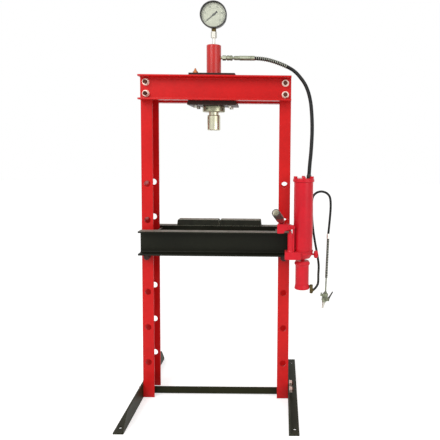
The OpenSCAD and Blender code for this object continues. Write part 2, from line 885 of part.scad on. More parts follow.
module gauge_dial() {
    color([0.84, 0.87, 0.80]) translate([ram_x, 8 - gauge_depth / 2, gauge_z]) rotate([90, 0, 0])
        difference() {
            cylinder(d = case_d - 2 * case_wall - 2 * seat, h = 1, $fn = 96);
            translate([0, 0, -1]) cylinder(d = spindle_d + 4 * run_fit, h = 3);
        }
}

// Pointer at zero: a long tapered arm, a broad tail, and the spindle through the dial
module gauge_pointer() {
    long = case_d / 2 - 9;
    tail = case_d * 0.19;
    color("black") translate([ram_x, 6.6 - gauge_depth / 2, gauge_z]) rotate([90, 0, 0]) {
        rotate([0, 0, gauge_zero]) linear_extrude(1)
            polygon([[-tail, -4], [0, -2.5], [long, -0.5], [long, 0.5], [0, 2.5], [-tail, 4]]);
        cylinder(d = 9, h = 2.4);
        translate([0, 0, -8]) cylinder(d = spindle_d, h = 9);
    }
}

// ---------- hydraulic line ----------

function hose_path() = smooth(HOSE_ROUTE, hose_steps);

function guard_path() = [for (i = [0 : guard_rings - 1]) hose_path()[i]];

// Two-part quick coupler screwed into the barrel's port
module hose_coupler() {
    start = ram_x + barrel_d / 2;
    color(STEEL) translate([start, 0, port_z]) rotate([0, 90, 0]) {
        translate([0, 0, -7]) cylinder(d = port_d, h = 14);
        translate([0, 0, 6]) cylinder(d = 19 * af_to_d, h = 14, $fn = 6);
        translate([0, 0, 20]) cylinder(d = 15, h = 4);
        translate([0, 0, 24]) rotate_extrude() polygon([
            [0, 0], [9.5, 0], [11, 2], [11, 7], [10, 9], [10, 14], [11, 16], [11, 22], [9.5, 24], [0, 24]
        ]);
        translate([0, 0, 48]) cylinder(d = 12, h = coupler_len - 48);
    }
}

// Crimped ferrule: a nut end, two grooved crimps and a smooth collar at the hose
module hose_ferrule() {
    start = ram_x + barrel_d / 2 + coupler_len;
    length = HOSE_ROUTE[0][0] - start;
    r = hose_d / 2 + 2.5;
    color(ZINC) translate([start, 0, port_z]) rotate([0, 90, 0]) rotate_extrude() polygon([
        [0, 0], [r - 3, 0], [r - 1, 3], [r - 1, 20], [r - 2, 22], [r, 24], [r, length - 24],
        [r - 0.8, length - 22], [r, length - 20], [r, length - 2], [r - 1, length], [0, length]
    ]);
}

// Sleeve that keeps the hose from kinking where it leaves the ferrule
module hose_guard() {
    color(RUBBER) tube_along(guard_path(), [[1, 0, 0]], hose_d / 2 + 2.2, hose_d / 2 + seat, 12);
}

module hydraulic_hose() {
    color(RUBBER) rod_along(hose_path(), [[1, 0, 0], [0, 0, -1]], hose_d / 2, 12);
}

// Hexagon fitting on the tank's cap, with a collar that the hose is crimped into
module pump_fitting() {
    rise = HOSE_ROUTE[len(HOSE_ROUTE) - 1][2] - cap_top;
    color(OLIVE) translate([fitting_at[0], fitting_at[1], cap_top]) {
        translate([0, 0, -fitting_seat]) cylinder(d = fitting_d - 2 * thread_play, h = fitting_seat + 1);
        cylinder(d = 17 * af_to_d, h = rise - 5, $fn = 6);
        cylinder(d = 16, h = rise);
    }
}

// ---------- pump ----------

module at_cap_screws() {
    for (turn = [0 : 3])
        translate([pump_x, pump_y, 0]) rotate([0, 0, 90 * turn]) translate([cap_screw_r, 0, 0]) children();
}

// Bent flat bar from the right-hand column's web to the back of the pump's base
module pump_bracket() {
    x0 = frame_w / 2;
    reach = pump_x + bracket_over - x0;
    back = bracket_half - (base_pad_y + bracket_t);
    color(RED) difference() {
        translate([0, 0, bracket_z - bracket_h / 2]) linear_extrude(bracket_h) difference() {
            union() {
                translate([x0, base_pad_y]) square([bracket_t, back + bracket_t]);
                translate([x0, base_pad_y]) square([reach, bracket_t]);
                translate([x0 + bracket_t, base_pad_y + bracket_t]) difference() {
                    square(6);
                    translate([6, 6]) circle(6, $fn = 32);
                }
            }
            translate([x0, base_pad_y]) difference() {
                translate([-1, -1]) square(9);
                translate([8, 8]) circle(8, $fn = 32);
            }
        }
        for (y = [-1, 1])
            translate([x0, y * bracket_screw_y, bracket_z]) bore_x(screw_d + 2 * bolt_play, 40);
        for (x = [-1, 1])
            translate([pump_x + x * pad_screw_x, base_pad_y, bracket_z])
                bore_y(screw_d + 2 * bolt_play, 40);
    }
}

module short_screw() {
    hex_bolt(screw_d, screw_len, screw_head_af, screw_head_h);
}

// Eight equal screws: four in the tank's cap, two in the column and two in the base
module pump_screws() {
    color(OLIVE) {
        at_cap_screws() translate([0, 0, cap_top]) short_screw();
        for (y = [-1, 1])
            translate([frame_w / 2 + bracket_t, y * bracket_screw_y, bracket_z])
                rotate([0, 90, 0]) short_screw();
        for (x = [-1, 1])
            translate([pump_x + x * pad_screw_x, base_pad_y + bracket_t, bracket_z])
                rotate([-90, 0, 0]) short_screw();
    }
}

// Outline of the arm that carries the hand pump's barrel
module hand_arm_outline() {
    left = 22;
    right = 44;
    half = 14;
    corner = 5;
    translate([plunger_x + (right - left) / 2, plunger_y + (plunger_front - half) / 2])
        round_rect(left + right, half + plunger_front, corner);
}

// Casting under the tank, with the hand pump's arm and barrel and the lever's post
module pump_base() {
    post_w = fork_gap - 2;
    post_t = 8;
    pad_half = 24;
    color(CRIMSON) difference() {
        union() {
            translate([pump_x, pump_y, pump_z]) rotate_extrude() polygon([
                [0, 0], [29, 0], [cap_d / 2 - 3, base_h - 14], [cap_d / 2 - 3, base_h - 5],
                [cap_d / 2 - 1, base_h - 3], [cap_d / 2 - 1, base_h], [0, base_h]
            ]);
            translate([0, 0, pump_z]) linear_extrude(base_h) hand_arm_outline();
            translate([plunger_x, plunger_y, pump_z])
                cylinder(d = hand_barrel_d, h = hand_barrel_top - pump_z);
            translate([plunger_x, plunger_y, base_top])
                cylinder(d1 = hand_barrel_d + 6, d2 = hand_barrel_d, h = 6);
            translate([pump_x - pad_half, pump_y, pump_z + 1])
                cube([2 * pad_half, base_pad_y - pump_y, base_h - 2]);
            translate([fulcrum_x - post_t / 2, plunger_y - post_w / 2, base_top - 1])
                cube([post_t, post_w, lever_rise + 1]);
            translate([fulcrum_x, plunger_y, fulcrum_z]) bore_y(post_t, post_w);
        }
        translate([fulcrum_x, plunger_y, fulcrum_z]) bore_y(lever_pin_d + 2 * run_fit, 30);
        translate([plunger_x, plunger_y, pump_z + 8])
            cylinder(d = plunger_d + 2 * run_fit, h = hand_barrel_top - pump_z);
        translate([plunger_x, plunger_y, hand_barrel_top - gland_seat])
            cylinder(d = gland_seat_d + 2 * thread_play, h = gland_seat + 1);
        translate([pump_x + 12, pump_y, valve_z]) rotate([0, 90, 0])
            cylinder(d = valve_stem_d + 2 * run_fit, h = 60);
        translate([pump_x, pump_y, pump_z - 1]) cylinder(d = motor_spigot_d + 2 * thread_play, h = 11);
        for (x = [-1, 1])
            translate([pump_x + x * pad_screw_x, base_pad_y + 1, bracket_z]) rotate([90, 0, 0])
                cylinder(d = screw_d + 2 * thread_play, h = screw_len - bracket_t + 3);
    }
}

// Oil tank: a tube with a thick ring inside its top that takes the cap's screws
module pump_tank() {
    ring_t = 20;
    color(CRIMSON) difference() {
        translate([pump_x, pump_y, base_top]) cylinder(d = tank_d, h = tank_h);
        translate([pump_x, pump_y, base_top - 1])
            cylinder(d = tank_d - 2 * tank_wall, h = tank_h - ring_t + 1);
        translate([pump_x, pump_y, base_top - 1]) cylinder(d = tank_ring_d, h = tank_h + 2);
        at_cap_screws() translate([0, 0, tank_top - 17])
            cylinder(d = screw_d + 2 * thread_play, h = 18);
    }
}

module tank_cap() {
    r = cap_d / 2;
    color(CRIMSON) difference() {
        translate([pump_x, pump_y, tank_top]) rotate_extrude() polygon([
            [0, 0], [r - 2, 0], [r, 2], [r, cap_t - 5], [r - 1.5, cap_t - 4], [r - 1.5, cap_t - 1],
            [r - 2.5, cap_t], [0, cap_t]
        ]);
        at_cap_screws() translate([0, 0, tank_top - 1])
            cylinder(d = screw_d + 2 * bolt_play, h = cap_t + 2);
        translate([fitting_at[0], fitting_at[1], cap_top - fitting_seat - seat])
            cylinder(d = fitting_d, h = cap_t);
    }
}

// Plunger with a flat eye on top; the eye's slot lets the lever's pin swing sideways
module pump_plunger() {
    eye_w = fork_gap - 2;
    eye_h = 12;
    swing = 2.3;
    pin = lever_pin_d + 1;
    color(STEEL) difference() {
        union() {
            translate([plunger_x, plunger_y, pump_z + 15])
                cylinder(d = plunger_d, h = fulcrum_z - pump_z - 20);
            translate([plunger_x + swing / 2 - eye_h / 2, plunger_y - eye_w / 2, fulcrum_z - eye_h / 2])
                cube([eye_h, eye_w, eye_h]);
        }
        translate([plunger_x, plunger_y, fulcrum_z]) bore_y(pin, 20);
        translate([plunger_x + swing, plunger_y, fulcrum_z]) bore_y(pin, 20);
        translate([plunger_x + swing / 2, plunger_y, fulcrum_z]) cube([swing, 20, pin], center = true);
    }
}

module plunger_gland() {
    color(ZINC) translate([plunger_x, plunger_y, hand_barrel_top]) difference() {
        union() {
            cylinder(d = gland_d, h = gland_h);
            translate([0, 0, seat - gland_seat]) cylinder(d = gland_seat_d, h = gland_seat);
        }
        translate([0, 0, -gland_seat]) cylinder(d = plunger_d + 2 * run_fit, h = gland_seat + gland_h + 1);
    }
}

// Two cheeks on the fulcrum's pin, joined by a deep block that carries the handle's socket
module lever_shape() {
    reach = 65;
    end_x = fulcrum_x - reach;
    block = 35;
    half = fork_gap / 2 + cheek_t;
    outline = [
        [end_x, -22], [end_x + 3, -25], [end_x + 26, -24], [end_x + 33, -12], [plunger_x, -8],
        [fulcrum_x, -ear_r], [fulcrum_x, ear_r], [plunger_x, 9.5], [end_x + 36, 13], [end_x + 3, 12],
        [end_x, 9]
    ];
    difference() {
        union() {
            translate([0, plunger_y + half, fulcrum_z]) rotate([90, 0, 0])
                linear_extrude(2 * half) polygon(outline);
            translate([fulcrum_x, plunger_y, fulcrum_z]) bore_y(2 * ear_r, 2 * half);
            translate([plunger_x, plunger_y, fulcrum_z]) bore_y(19, 2 * half + 4);
        }
        translate([end_x + block, plunger_y - fork_gap / 2, fulcrum_z - 40]) cube([80, fork_gap, 80]);
        for (x = [plunger_x, fulcrum_x])
            translate([x, plunger_y, fulcrum_z]) bore_y(lever_pin_d, 80);
    }
}

module pump_lever() {
    color(CRIMSON) lever_shape();
}

module socket_place() {
    translate([plunger_x - 35, plunger_y + 10, fulcrum_z + 21])
        rotate([0, 0, socket_turn]) rotate([0, socket_lean, 0]) children();
}

// Tube for the pump handle, swaged down at its root and welded to the lever's block
module handle_socket() {
    r = socket_d / 2;
    root = 9;
    color([0.38, 0.36, 0.32]) difference() {
        socket_place() rotate_extrude() polygon([
            [0, 0], [r - root / 2, 0], [r - root / 2, 12], [r, 26], [r, socket_len - 1],
            [r - 1, socket_len], [0, socket_len]
        ]);
        socket_place() translate([0, 0, socket_bore_from]) cylinder(d = socket_bore, h = socket_len);
        lever_shape();
    }
}

// The fulcrum's pin and the plunger's pin, both fixed in the cheeks
module lever_pins() {
    length = fork_gap + 2 * cheek_t;
    color(STEEL)
        for (x = [plunger_x, fulcrum_x])
            translate([x, plunger_y, fulcrum_z]) bore_y(lever_pin_d, length);
}

// Fluted knob on the release valve's stem
module release_valve() {
    start = pump_x + cap_d / 2 + 2;
    flutes = 10;
    color(CRIMSON) translate([0, pump_y, valve_z]) {
        translate([pump_x + 14, 0, 0]) rotate([0, 90, 0])
            cylinder(d = valve_stem_d, h = start - pump_x - 13);
        translate([start, 0, 0]) rotate([0, 90, 0]) difference() {
            rotate_extrude() polygon([
                [0, 0], [knob_d / 2 - 4, 0], [knob_d / 2, 4], [knob_d / 2, 13],
                [knob_d / 2 - 3, 16], [0, 16]
            ]);
            for (k = [0 : flutes - 1])
                rotate([0, 0, 360 * k / flutes]) translate([knob_d / 2 + 1.5, 0, 2])
                    cylinder(d = 6, h = 20, $fn = 16);
        }
    }
}

// ---------- air motor and air line ----------

module air_motor_cylinder() {
    flange_r = motor_d / 2 + 4;
    color(CRIMSON) translate([motor_x, pump_y, 0]) difference() {
        union() {
            translate([0, 0, motor_bottom + motor_cap_h]) rotate_extrude() polygon([
                [0, 0], [motor_d / 2, 0], [motor_d / 2, motor_h - motor_cap_h - 20],
                [flange_r, motor_h - motor_cap_h - 13], [flange_r, motor_h - motor_cap_h - 9],
                [flange_r - 5, motor_h - motor_cap_h], [0, motor_h - motor_cap_h]
            ]);
            translate([pump_x - motor_x, 0, motor_top - 1]) {
                cylinder(d = motor_spigot_d + 5, h = pump_z - motor_top + 1);
                cylinder(d = motor_spigot_d, h = pump_z - motor_top + 10);
            }
        }
        translate([0, 0, motor_bottom]) cylinder(d = motor_d - 10, h = motor_h - 16);
    }
}

// Lower cap of the air motor, flared to its foot
module air_motor_cap() {
    color(CRIMSON) translate([motor_x, pump_y, motor_bottom]) difference() {
        rotate_extrude() polygon([
            [0, 0], [motor_d / 2 + 1, 0], [motor_d / 2 + 3, 2], [motor_d / 2 + 3, 5],
            [motor_d / 2, motor_cap_h], [0, motor_cap_h]
        ]);
        translate([motor_d / 2, 0, elbow_z - motor_bottom]) bore_x(elbow_d + 2 * thread_play, 20);
    }
}

// Brass elbow from the air motor's cap down to the hose's barb, which points outwards and up
module air_elbow() {
    out = AIR_ROUTE[0];
    side = motor_x + motor_d / 2;
    barb_len = 13;
    turn_x = out[0] - barb_len * cos(barb_tilt);
    turn_z = out[2] - barb_len * sin(barb_tilt);
    color(BRASS) {
        translate([(side - 8 + turn_x) / 2, pump_y, elbow_z]) bore_x(elbow_d, turn_x - side + 8);
        translate([side + 4, pump_y, elbow_z]) rotate([0, 90, 0])
            cylinder(d = 14 * af_to_d, h = 5, $fn = 6);
        translate([turn_x, pump_y, turn_z - 6]) cylinder(d = 13, h = elbow_z - turn_z + 13);
        translate([turn_x, pump_y, turn_z]) rotate([0, 90 - barb_tilt, 0]) cylinder(d = 10, h = barb_len);
    }
}

function air_path() = smooth(AIR_ROUTE, air_steps);

module air_hose() {
    ends = [[cos(barb_tilt), 0, sin(barb_tilt)], [-sin(drop_tilt), 0, -cos(drop_tilt)]];
    color(RUBBER) rod_along(air_path(), ends, air_hose_d / 2, 8);
}

// The hanging end of the air line: local z = 0 is the collar's top and the line runs down -Z
module drop_place() {
    translate([air_drop_x, air_drop_y, collar_top]) rotate([0, drop_tilt, 0]) children();
}

// Ferrule on the hanging end of the air hose
module air_hose_collar() {
    r = air_hose_d / 2 + 1.75;
    color(ZINC) drop_place() translate([0, 0, -collar_h]) rotate_extrude() polygon([
        [0, 0], [r - 0.5, 0], [r, 2], [r, collar_h - 4], [r - 1, collar_h], [0, collar_h]
    ]);
}

// Straight spring guard below the collar, round the valve's stem tube
module air_hose_guard() {
    coils = 24;
    pitch = air_guard_len / coils;
    color(RUBBER) drop_place() translate([0, 0, -collar_h - air_guard_len]) difference() {
        rotate_extrude($fn = 24) polygon(concat(
            [[0, 0]],
            [for (k = [0 : coils - 1]) each [
                [5, k * pitch], [5, (k + 0.7) * pitch], [4.3, (k + 0.75) * pitch], [4.3, (k + 0.95) * pitch]
            ]],
            [[5, air_guard_len], [0, air_guard_len]]
        ));
        translate([0, 0, -1]) cylinder(d = stem_d + 2 * run_fit, h = 31);
    }
}

module valve_place() {
    drop_place() translate([0, 0, -valve_drop]) rotate([0, valve_tilt, 0]) children();
}

// Hand valve: stem tube from the guard, body with a side port and a hook, tilted as it hangs
module air_valve_body() {
    ear_gap = 13;
    color([0.45, 0.45, 0.40]) {
        drop_place() translate([0, 0, -valve_drop - 4]) cylinder(d = stem_d, h = stem_len + 33);
        drop_place() translate([0, 0, -valve_drop - 2]) cylinder(d = 12, h = 9);
        valve_place() translate([0, 0, -valve_h]) difference() {
            union() {
                translate([-valve_w / 2, -9, 0]) cube([valve_w, 18, valve_h]);
                translate([-valve_w / 2 - 9, -4, valve_h - 14]) cube([10, 8, 9]);
                translate([-valve_w / 2 - 9, -4, valve_h - 14]) cube([4, 8, 14]);
                for (side = [-1, 1])
                    translate([valve_w / 2 - 1, side * ear_gap / 2 - 1.5, thumb_rise - 6])
                        cube([10, 3, 12]);
                translate([0, 0, -valve_foot_h]) cylinder(d = 16, h = valve_foot_h + 1);
            }
            translate([thumb_x, 0, thumb_rise]) bore_y(thumb_pin_d + 4 * run_fit, 30);
            translate([0, 0, -valve_foot_h - 1])
                cylinder(d = nipple_d + 2 * thread_play, h = valve_foot_h + 4);
        }
    }
}

// Thumb lever of the hand valve, pivoted at its lower end and standing away from the body at its top
module air_valve_lever() {
    color([0.25, 0.25, 0.22]) valve_place() translate([thumb_x, 0, thumb_rise - valve_h]) {
        translate([0, 4.6, 0]) rotate([90, 0, 0]) linear_extrude(9.2)
            polygon([[-3, -3], [3, -3], [7, 14], [14, 34], [11, 36], [3, 16], [-3, 5]]);
        bore_y(thumb_pin_d, 17);
    }
}

// Male nipple that takes the air supply's coupler
module air_nipple() {
    color(ZINC) valve_place() translate([0, 0, -valve_h - valve_foot_h]) rotate([180, 0, 0])
        rotate_extrude() polygon([
            [0, -7], [nipple_d / 2, -7], [nipple_d / 2, 0], [7.5, 0], [7.5, 5], [5, 6.5], [5, 9],
            [6, 10.5], [6, 13],
            [4.5, 15], [4, 16], [4, 26], [3.5, 27], [2.5, 27], [2.5, 14], [0, 14]
        ]);
}

left_column();
right_column();
head_front_beam();
head_rear_beam();
frame_bolts();
frame_nuts();
left_foot();
right_foot();
base_brace();
bed_front_beam();
bed_rear_beam();
bed_tie_plates();
arbor_plate_left();
arbor_plate_right();
bed_pin_left();
bed_pin_right();
upper_clamp_plate();
lower_clamp_plate();
clamp_bolts();
clamp_cap_nut();
ram_cylinder();
cylinder_cap();
lock_ring();
ram_rod();
ram_nose();
piston_seal();
rod_wiper();
return_spring();
gauge_adaptor();
gauge_stem();
gauge_case();
gauge_bezel();
gauge_glass();
gauge_dial();
gauge_pointer();
hose_coupler();
hose_ferrule();
hose_guard();
hydraulic_hose();
pump_fitting();
pump_bracket();
pump_screws();
pump_base();
pump_tank();
tank_cap();
pump_plunger();
plunger_gland();
pump_lever();
handle_socket();
lever_pins();
release_valve();
air_motor_cylinder();
air_motor_cap();
air_elbow();
air_hose();
air_hose_collar();
air_hose_guard();
air_valve_body();
air_valve_lever();
air_nipple();
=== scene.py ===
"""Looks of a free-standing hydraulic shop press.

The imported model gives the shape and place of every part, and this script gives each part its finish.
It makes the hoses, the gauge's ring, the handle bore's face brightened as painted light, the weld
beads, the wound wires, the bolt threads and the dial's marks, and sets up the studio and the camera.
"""

import json
import logging
import math
from collections.abc import Sequence
from dataclasses import dataclass
from enum import Enum
from functools import reduce

import bmesh
import bpy
from mathutils import Matrix, Vector


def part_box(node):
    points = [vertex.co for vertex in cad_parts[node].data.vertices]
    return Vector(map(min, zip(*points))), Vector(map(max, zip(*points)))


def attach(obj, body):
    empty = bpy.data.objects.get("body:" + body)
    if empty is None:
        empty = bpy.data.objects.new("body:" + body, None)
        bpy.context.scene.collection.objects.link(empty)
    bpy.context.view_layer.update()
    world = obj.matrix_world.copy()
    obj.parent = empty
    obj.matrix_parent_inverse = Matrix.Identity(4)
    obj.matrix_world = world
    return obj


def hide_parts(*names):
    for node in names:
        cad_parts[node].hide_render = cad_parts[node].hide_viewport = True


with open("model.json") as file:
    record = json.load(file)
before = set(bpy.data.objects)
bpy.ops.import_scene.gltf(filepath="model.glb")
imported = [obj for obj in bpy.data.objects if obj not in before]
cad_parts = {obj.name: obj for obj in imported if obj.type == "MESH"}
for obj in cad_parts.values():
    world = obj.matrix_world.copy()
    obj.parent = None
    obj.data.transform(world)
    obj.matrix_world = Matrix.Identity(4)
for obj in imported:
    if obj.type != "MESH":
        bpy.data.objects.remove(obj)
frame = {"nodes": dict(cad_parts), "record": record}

LOG = logging.getLogger("press")
Colour = tuple[float, float, float]
Point = tuple[float, float, float]
Node = bpy.types.Node
Socket = bpy.types.NodeSocket
Piece = bpy.types.Object
MM = 0.001
SEED = 11
FULL_TURN = 2 * math.pi
SIDES = (-1, 1)


def srgb(red: float, green: float, blue: float) -> Colour:
    """Turns an 8-bit display colour into linear values.

    Args:
        red: Red, 0 to 255.
        green: Green, 0 to 255.
        blue: Blue, 0 to 255.

    Returns:
        The same colour as linear red, green and blue.
    """
    def linear(value: float) -> float:
        """Undoes the display curve for one channel."""
        share = value / 255
        return share / 12.92 if share <= 0.04045 else ((share + 0.055) / 1.055) ** 2.4

    return linear(red), linear(green), linear(blue)


def scaled(colour: Colour, factor: float) -> Colour:
    """Makes a colour lighter or darker by a factor."""
    return tuple(min(1.0, part * factor) for part in colour)


# ---------------------------------------------------------------- node trees


class Graph:
    """A shader or geometry tree with short calls that add and join nodes."""

    def __init__(self, tree: bpy.types.NodeTree) -> None:
        """Starts on an empty tree."""
        self.tree = tree
        tree.nodes.clear()

    def add(self, kind: str, values: dict[str | int, object] | None = None, **settings: object) -> Node:
        """Adds one node.

        Args:
            kind: The node's type name.
            values: What each input is set to: a socket is joined, anything else is its value.
            **settings: The node's own properties.

        Returns:
            The new node.
        """
        node = self.tree.nodes.new(kind)
        for key, value in settings.items():
            setattr(node, key, value)
        for key, value in (values or {}).items():
            self.feed(node.inputs[key], value)
        return node

    def feed(self, socket: Socket, value: object) -> None:
        """Joins a socket to another, or sets its value.

        Args:
            socket: The input.
            value: Another node's output, or a plain value.
        """
        if isinstance(value, Socket):
            self.tree.links.new(value, socket)
            return
        if socket.type == "RGBA" and len(value) == 3:
            value = (*value, 1.0)
        socket.default_value = value

    def math(self, operation: str, first: object, second: object = 0.0, clamp: bool = False) -> Socket:
        """Works on one or two numbers or sockets with a Math node."""
        values = {0: first, 1: second}
        return self.add("ShaderNodeMath", values, operation=operation, use_clamp=clamp).outputs[0]

    def plus(self, first: object, second: object, clamp: bool = False) -> Socket:
        """Adds two numbers or sockets."""
        return self.math("ADD", first, second, clamp)

    def times(self, first: object, second: object, clamp: bool = False) -> Socket:
        """Multiplies two numbers or sockets."""
        return self.math("MULTIPLY", first, second, clamp)

    def most(self, *values: object) -> Socket:
        """Takes the largest of several numbers or sockets."""
        return reduce(lambda first, second: self.math("MAXIMUM", first, second), values)

    def vector(self, operation: str, first: object, second: object) -> Socket:
        """Works on two vectors and returns the vector that results."""
        return self.add("ShaderNodeVectorMath", {0: first, 1: second}, operation=operation).outputs[0]

    def dot(self, first: object, second: object) -> Socket:
        """Says how far two vectors run the same way."""
        node = self.add("ShaderNodeVectorMath", {0: first, 1: second}, operation="DOT_PRODUCT")
        return node.outputs["Value"]

    def rise(self, vector: Socket) -> Socket:
        """Takes the upright part of a vector."""
        return self.add("ShaderNodeSeparateXYZ", {0: vector}).outputs["Z"]

    def mix(self, share: object, first: object, second: object) -> Socket:
        """Mixes two colours; the share is how much of the second one shows."""
        return self.add("ShaderNodeMix", {0: share, 6: first, 7: second}, data_type="RGBA").outputs[2]

    def band(
        self, value: object, low: float, high: float, start: float = 0.0, end: float = 1.0,
    ) -> Socket:
        """Turns a range of a value into another range, with soft ends.

        Args:
            value: The value or socket.
            low: Where the range starts.
            high: Where it ends.
            start: What the low end becomes.
            end: What the high end becomes.

        Returns:
            The new value.
        """
        values = {"Value": value, "From Min": low, "From Max": high, "To Min": start, "To Max": end}
        return self.add("ShaderNodeMapRange", values, interpolation_type="SMOOTHSTEP").outputs["Result"]

    def noise(self, place: object, scale: object, detail: float = 3.0, rough: float = 0.5) -> Socket:
        """Adds soft noise.

        Args:
            place: Where it is read.
            scale: Features per metre.
            detail: How many finer layers it has.
            rough: How strong the finer layers are.

        Returns:
            The noise, 0 to 1.
        """
        values = {"Vector": place, "Scale": scale, "Detail": detail, "Roughness": rough}
        return self.add("ShaderNodeTexNoise", values).outputs["Fac"]

    def mapped(self, place: Socket, stretch: Point, turn: Point = (0.0, 0.0, 0.0)) -> Socket:
        """Turns and stretches the place that a pattern reads."""
        values = {"Vector": place, "Rotation": turn, "Scale": stretch}
        return self.add("ShaderNodeMapping", values).outputs[0]


class Effect(Enum):
    """Surface effects that several finishes share, each one shader node group."""

    MOTTLE = "Mottle"
    LEDGE_DUST = "Ledge dust"
    # Edges: rubbed metal and chipped paint, also painted edge shade and painted edge highlight on some
    # finishes.
    EDGE_WEAR = "Edge wear"
    SCRATCHES = "Scratches"
    RUNS = "Runs"
    PEEL = "Paint skin"
    CAST_GRAIN = "Cast grain"
    TOOL_LINES = "Tool lines"


EDGE_SAMPLES = 4
# Each set of scratches: how it is turned, and how it is drawn out. Then a scratch's width.
SCRATCH_SETS = (
    ((0.2, 0.5, 0.9), (1, 14, 14)),
    ((1.1, 0.3, 0.1), (16, 16, 1)),
    ((0.6, 1.2, 0.4), (12, 1, 12)),
)
SCRATCH_WIDTH = 0.006
# Runs are drawn out downwards. Runs and tool lines come in patches, so many to a metre.
RUN_STRETCH = (1, 1, 0.06)
RUN_PATCHES = 5.0
TOOL_PATCHES = 60.0


class Effects:
    """Builds each effect group once and places it in materials."""

    def __init__(self) -> None:
        """Starts with no group built."""
        self.groups: dict[Effect, bpy.types.NodeTree] = {}

    def start(
        self, effect: Effect, result: str, **knobs: float | None,
    ) -> tuple[Graph, bpy.types.NodeOutputs, Socket]:
        """Opens a group whose first input is the place that it reads.

        Args:
            effect: Which group it is.
            result: Name of its one output.
            **knobs: Its other inputs, each with its starting value, or None for a vector.

        Returns:
            The graph, the inputs by name, and the output socket to feed.
        """
        tree = bpy.data.node_groups.new(effect.value, "ShaderNodeTree")
        graph = Graph(tree)
        for name, value in {"place": None, **knobs}.items():
            kind = "NodeSocketVector" if value is None else "NodeSocketFloat"
            socket = tree.interface.new_socket(name.capitalize(), in_out="INPUT", socket_type=kind)
            if value is not None:
                socket.default_value = value
        tree.interface.new_socket(result, in_out="OUTPUT", socket_type="NodeSocketFloat")
        self.groups[effect] = tree
        return graph, graph.add("NodeGroupInput").outputs, graph.add("NodeGroupOutput").inputs[0]

    def mottle(self) -> None:
        """Broad and middling unevenness of a colour or a gloss."""
        g, knob, sink = self.start(Effect.MOTTLE, "Value", scale=6.0, offset=0.0)
        offset = g.add("ShaderNodeCombineXYZ", dict.fromkeys("XYZ", knob["Offset"])).outputs[0]
        moved = g.vector("ADD", knob["Place"], offset)
        broad = g.noise(moved, knob["Scale"], detail=2.0)
        fine = g.noise(moved, g.times(knob["Scale"], 9.0), detail=4.0, rough=0.6)
        g.feed(sink, g.plus(g.times(broad, 0.65), g.times(fine, 0.35)))

    def ledge_dust(self) -> None:
        """Dust that settles on faces that look up, in uneven patches."""
        g, knob, sink = self.start(Effect.LEDGE_DUST, "Mask", facing=None, amount=0.5, scale=25.0)
        level = g.band(g.rise(knob["Facing"]), 0.25, 0.95)
        patches = g.noise(knob["Place"], knob["Scale"], detail=5.0, rough=0.65)
        film = g.band(patches, 0.25, 0.75, start=0.35)
        g.feed(sink, g.times(g.times(level, film), knob["Amount"], clamp=True))

    def edge_wear(self) -> None:
        """Bright, bare or darkened edges, broken up along their length; on some finishes these are
        painted shade, on others painted highlight.
        """
        g, knob, sink = self.start(Effect.EDGE_WEAR, "Mask", width=0.001, breaks=90.0, cover=0.5)
        rounded = g.add("ShaderNodeBevel", {"Radius": knob["Width"]}, samples=EDGE_SAMPLES).outputs[0]
        flat = g.add("ShaderNodeNewGeometry").outputs["Normal"]
        edge = g.band(g.math("SUBTRACT", 1.0, g.dot(rounded, flat)), 0.02, 0.2)
        noise = g.noise(knob["Place"], knob["Breaks"], detail=5.0, rough=0.7)
        broken = g.band(g.plus(noise, g.times(knob["Cover"], 0.5)), 0.62, 0.78)
        g.feed(sink, g.times(edge, broken, clamp=True))

    def scratches(self) -> None:
        """Sparse fine scratches in three directions."""
        g, knob, sink = self.start(Effect.SCRATCHES, "Mask", scale=10.0, amount=0.5)
        sets = []
        for turn, stretch in SCRATCH_SETS:
            turned = g.mapped(knob["Place"], stretch, turn)
            lines = g.noise(turned, knob["Scale"], detail=2.0, rough=0.35)
            off_line = g.math("ABSOLUTE", g.math("SUBTRACT", lines, 0.5))
            thin = g.band(off_line, 0.0, SCRATCH_WIDTH, start=1.0, end=0.0)
            where = g.noise(turned, g.times(knob["Scale"], 0.45), detail=1.0)
            sets.append(g.times(thin, g.band(where, 0.58, 0.68)))
        g.feed(sink, g.times(g.most(*sets), knob["Amount"], clamp=True))

    def runs(self) -> None:
        """Faint marks that run down a face."""
        g, knob, sink = self.start(Effect.RUNS, "Mask", facing=None, scale=40.0, amount=0.5)
        drawn = g.mapped(knob["Place"], RUN_STRETCH)
        lines = g.band(g.noise(drawn, knob["Scale"], detail=4.0, rough=0.6), 0.52, 0.72)
        slope = g.math("ABSOLUTE", g.rise(knob["Facing"]))
        upright = g.band(slope, 0.2, 0.6, start=1.0, end=0.0)
        patches = g.band(g.noise(knob["Place"], RUN_PATCHES, detail=2.0), 0.42, 0.66)
        shown = g.times(g.times(lines, upright), patches)
        g.feed(sink, g.times(shown, knob["Amount"], clamp=True))

    def peel(self) -> None:
        """The slightly wavy skin of sprayed or baked paint."""
        g, knob, sink = self.start(Effect.PEEL, "Height", scale=520.0, wave=0.5)
        fine = g.noise(knob["Place"], knob["Scale"], detail=2.0)
        wave = g.noise(knob["Place"], g.times(knob["Scale"], 0.09), detail=2.0, rough=0.4)
        g.feed(sink, g.plus(fine, g.times(wave, knob["Wave"])))

    def cast_grain(self) -> None:
        """Sand-cast grain with shallow pits."""
        g, knob, sink = self.start(Effect.CAST_GRAIN, "Height", scale=420.0, pits=0.5)
        grain = g.noise(knob["Place"], knob["Scale"], detail=5.0, rough=0.7)
        values = {"Vector": knob["Place"], "Scale": g.times(knob["Scale"], 0.4)}
        cells = g.add("ShaderNodeTexVoronoi", values, feature="SMOOTH_F1").outputs["Distance"]
        g.feed(sink, g.plus(grain, g.times(g.band(cells, 0.05, 0.4), knob["Pits"])))

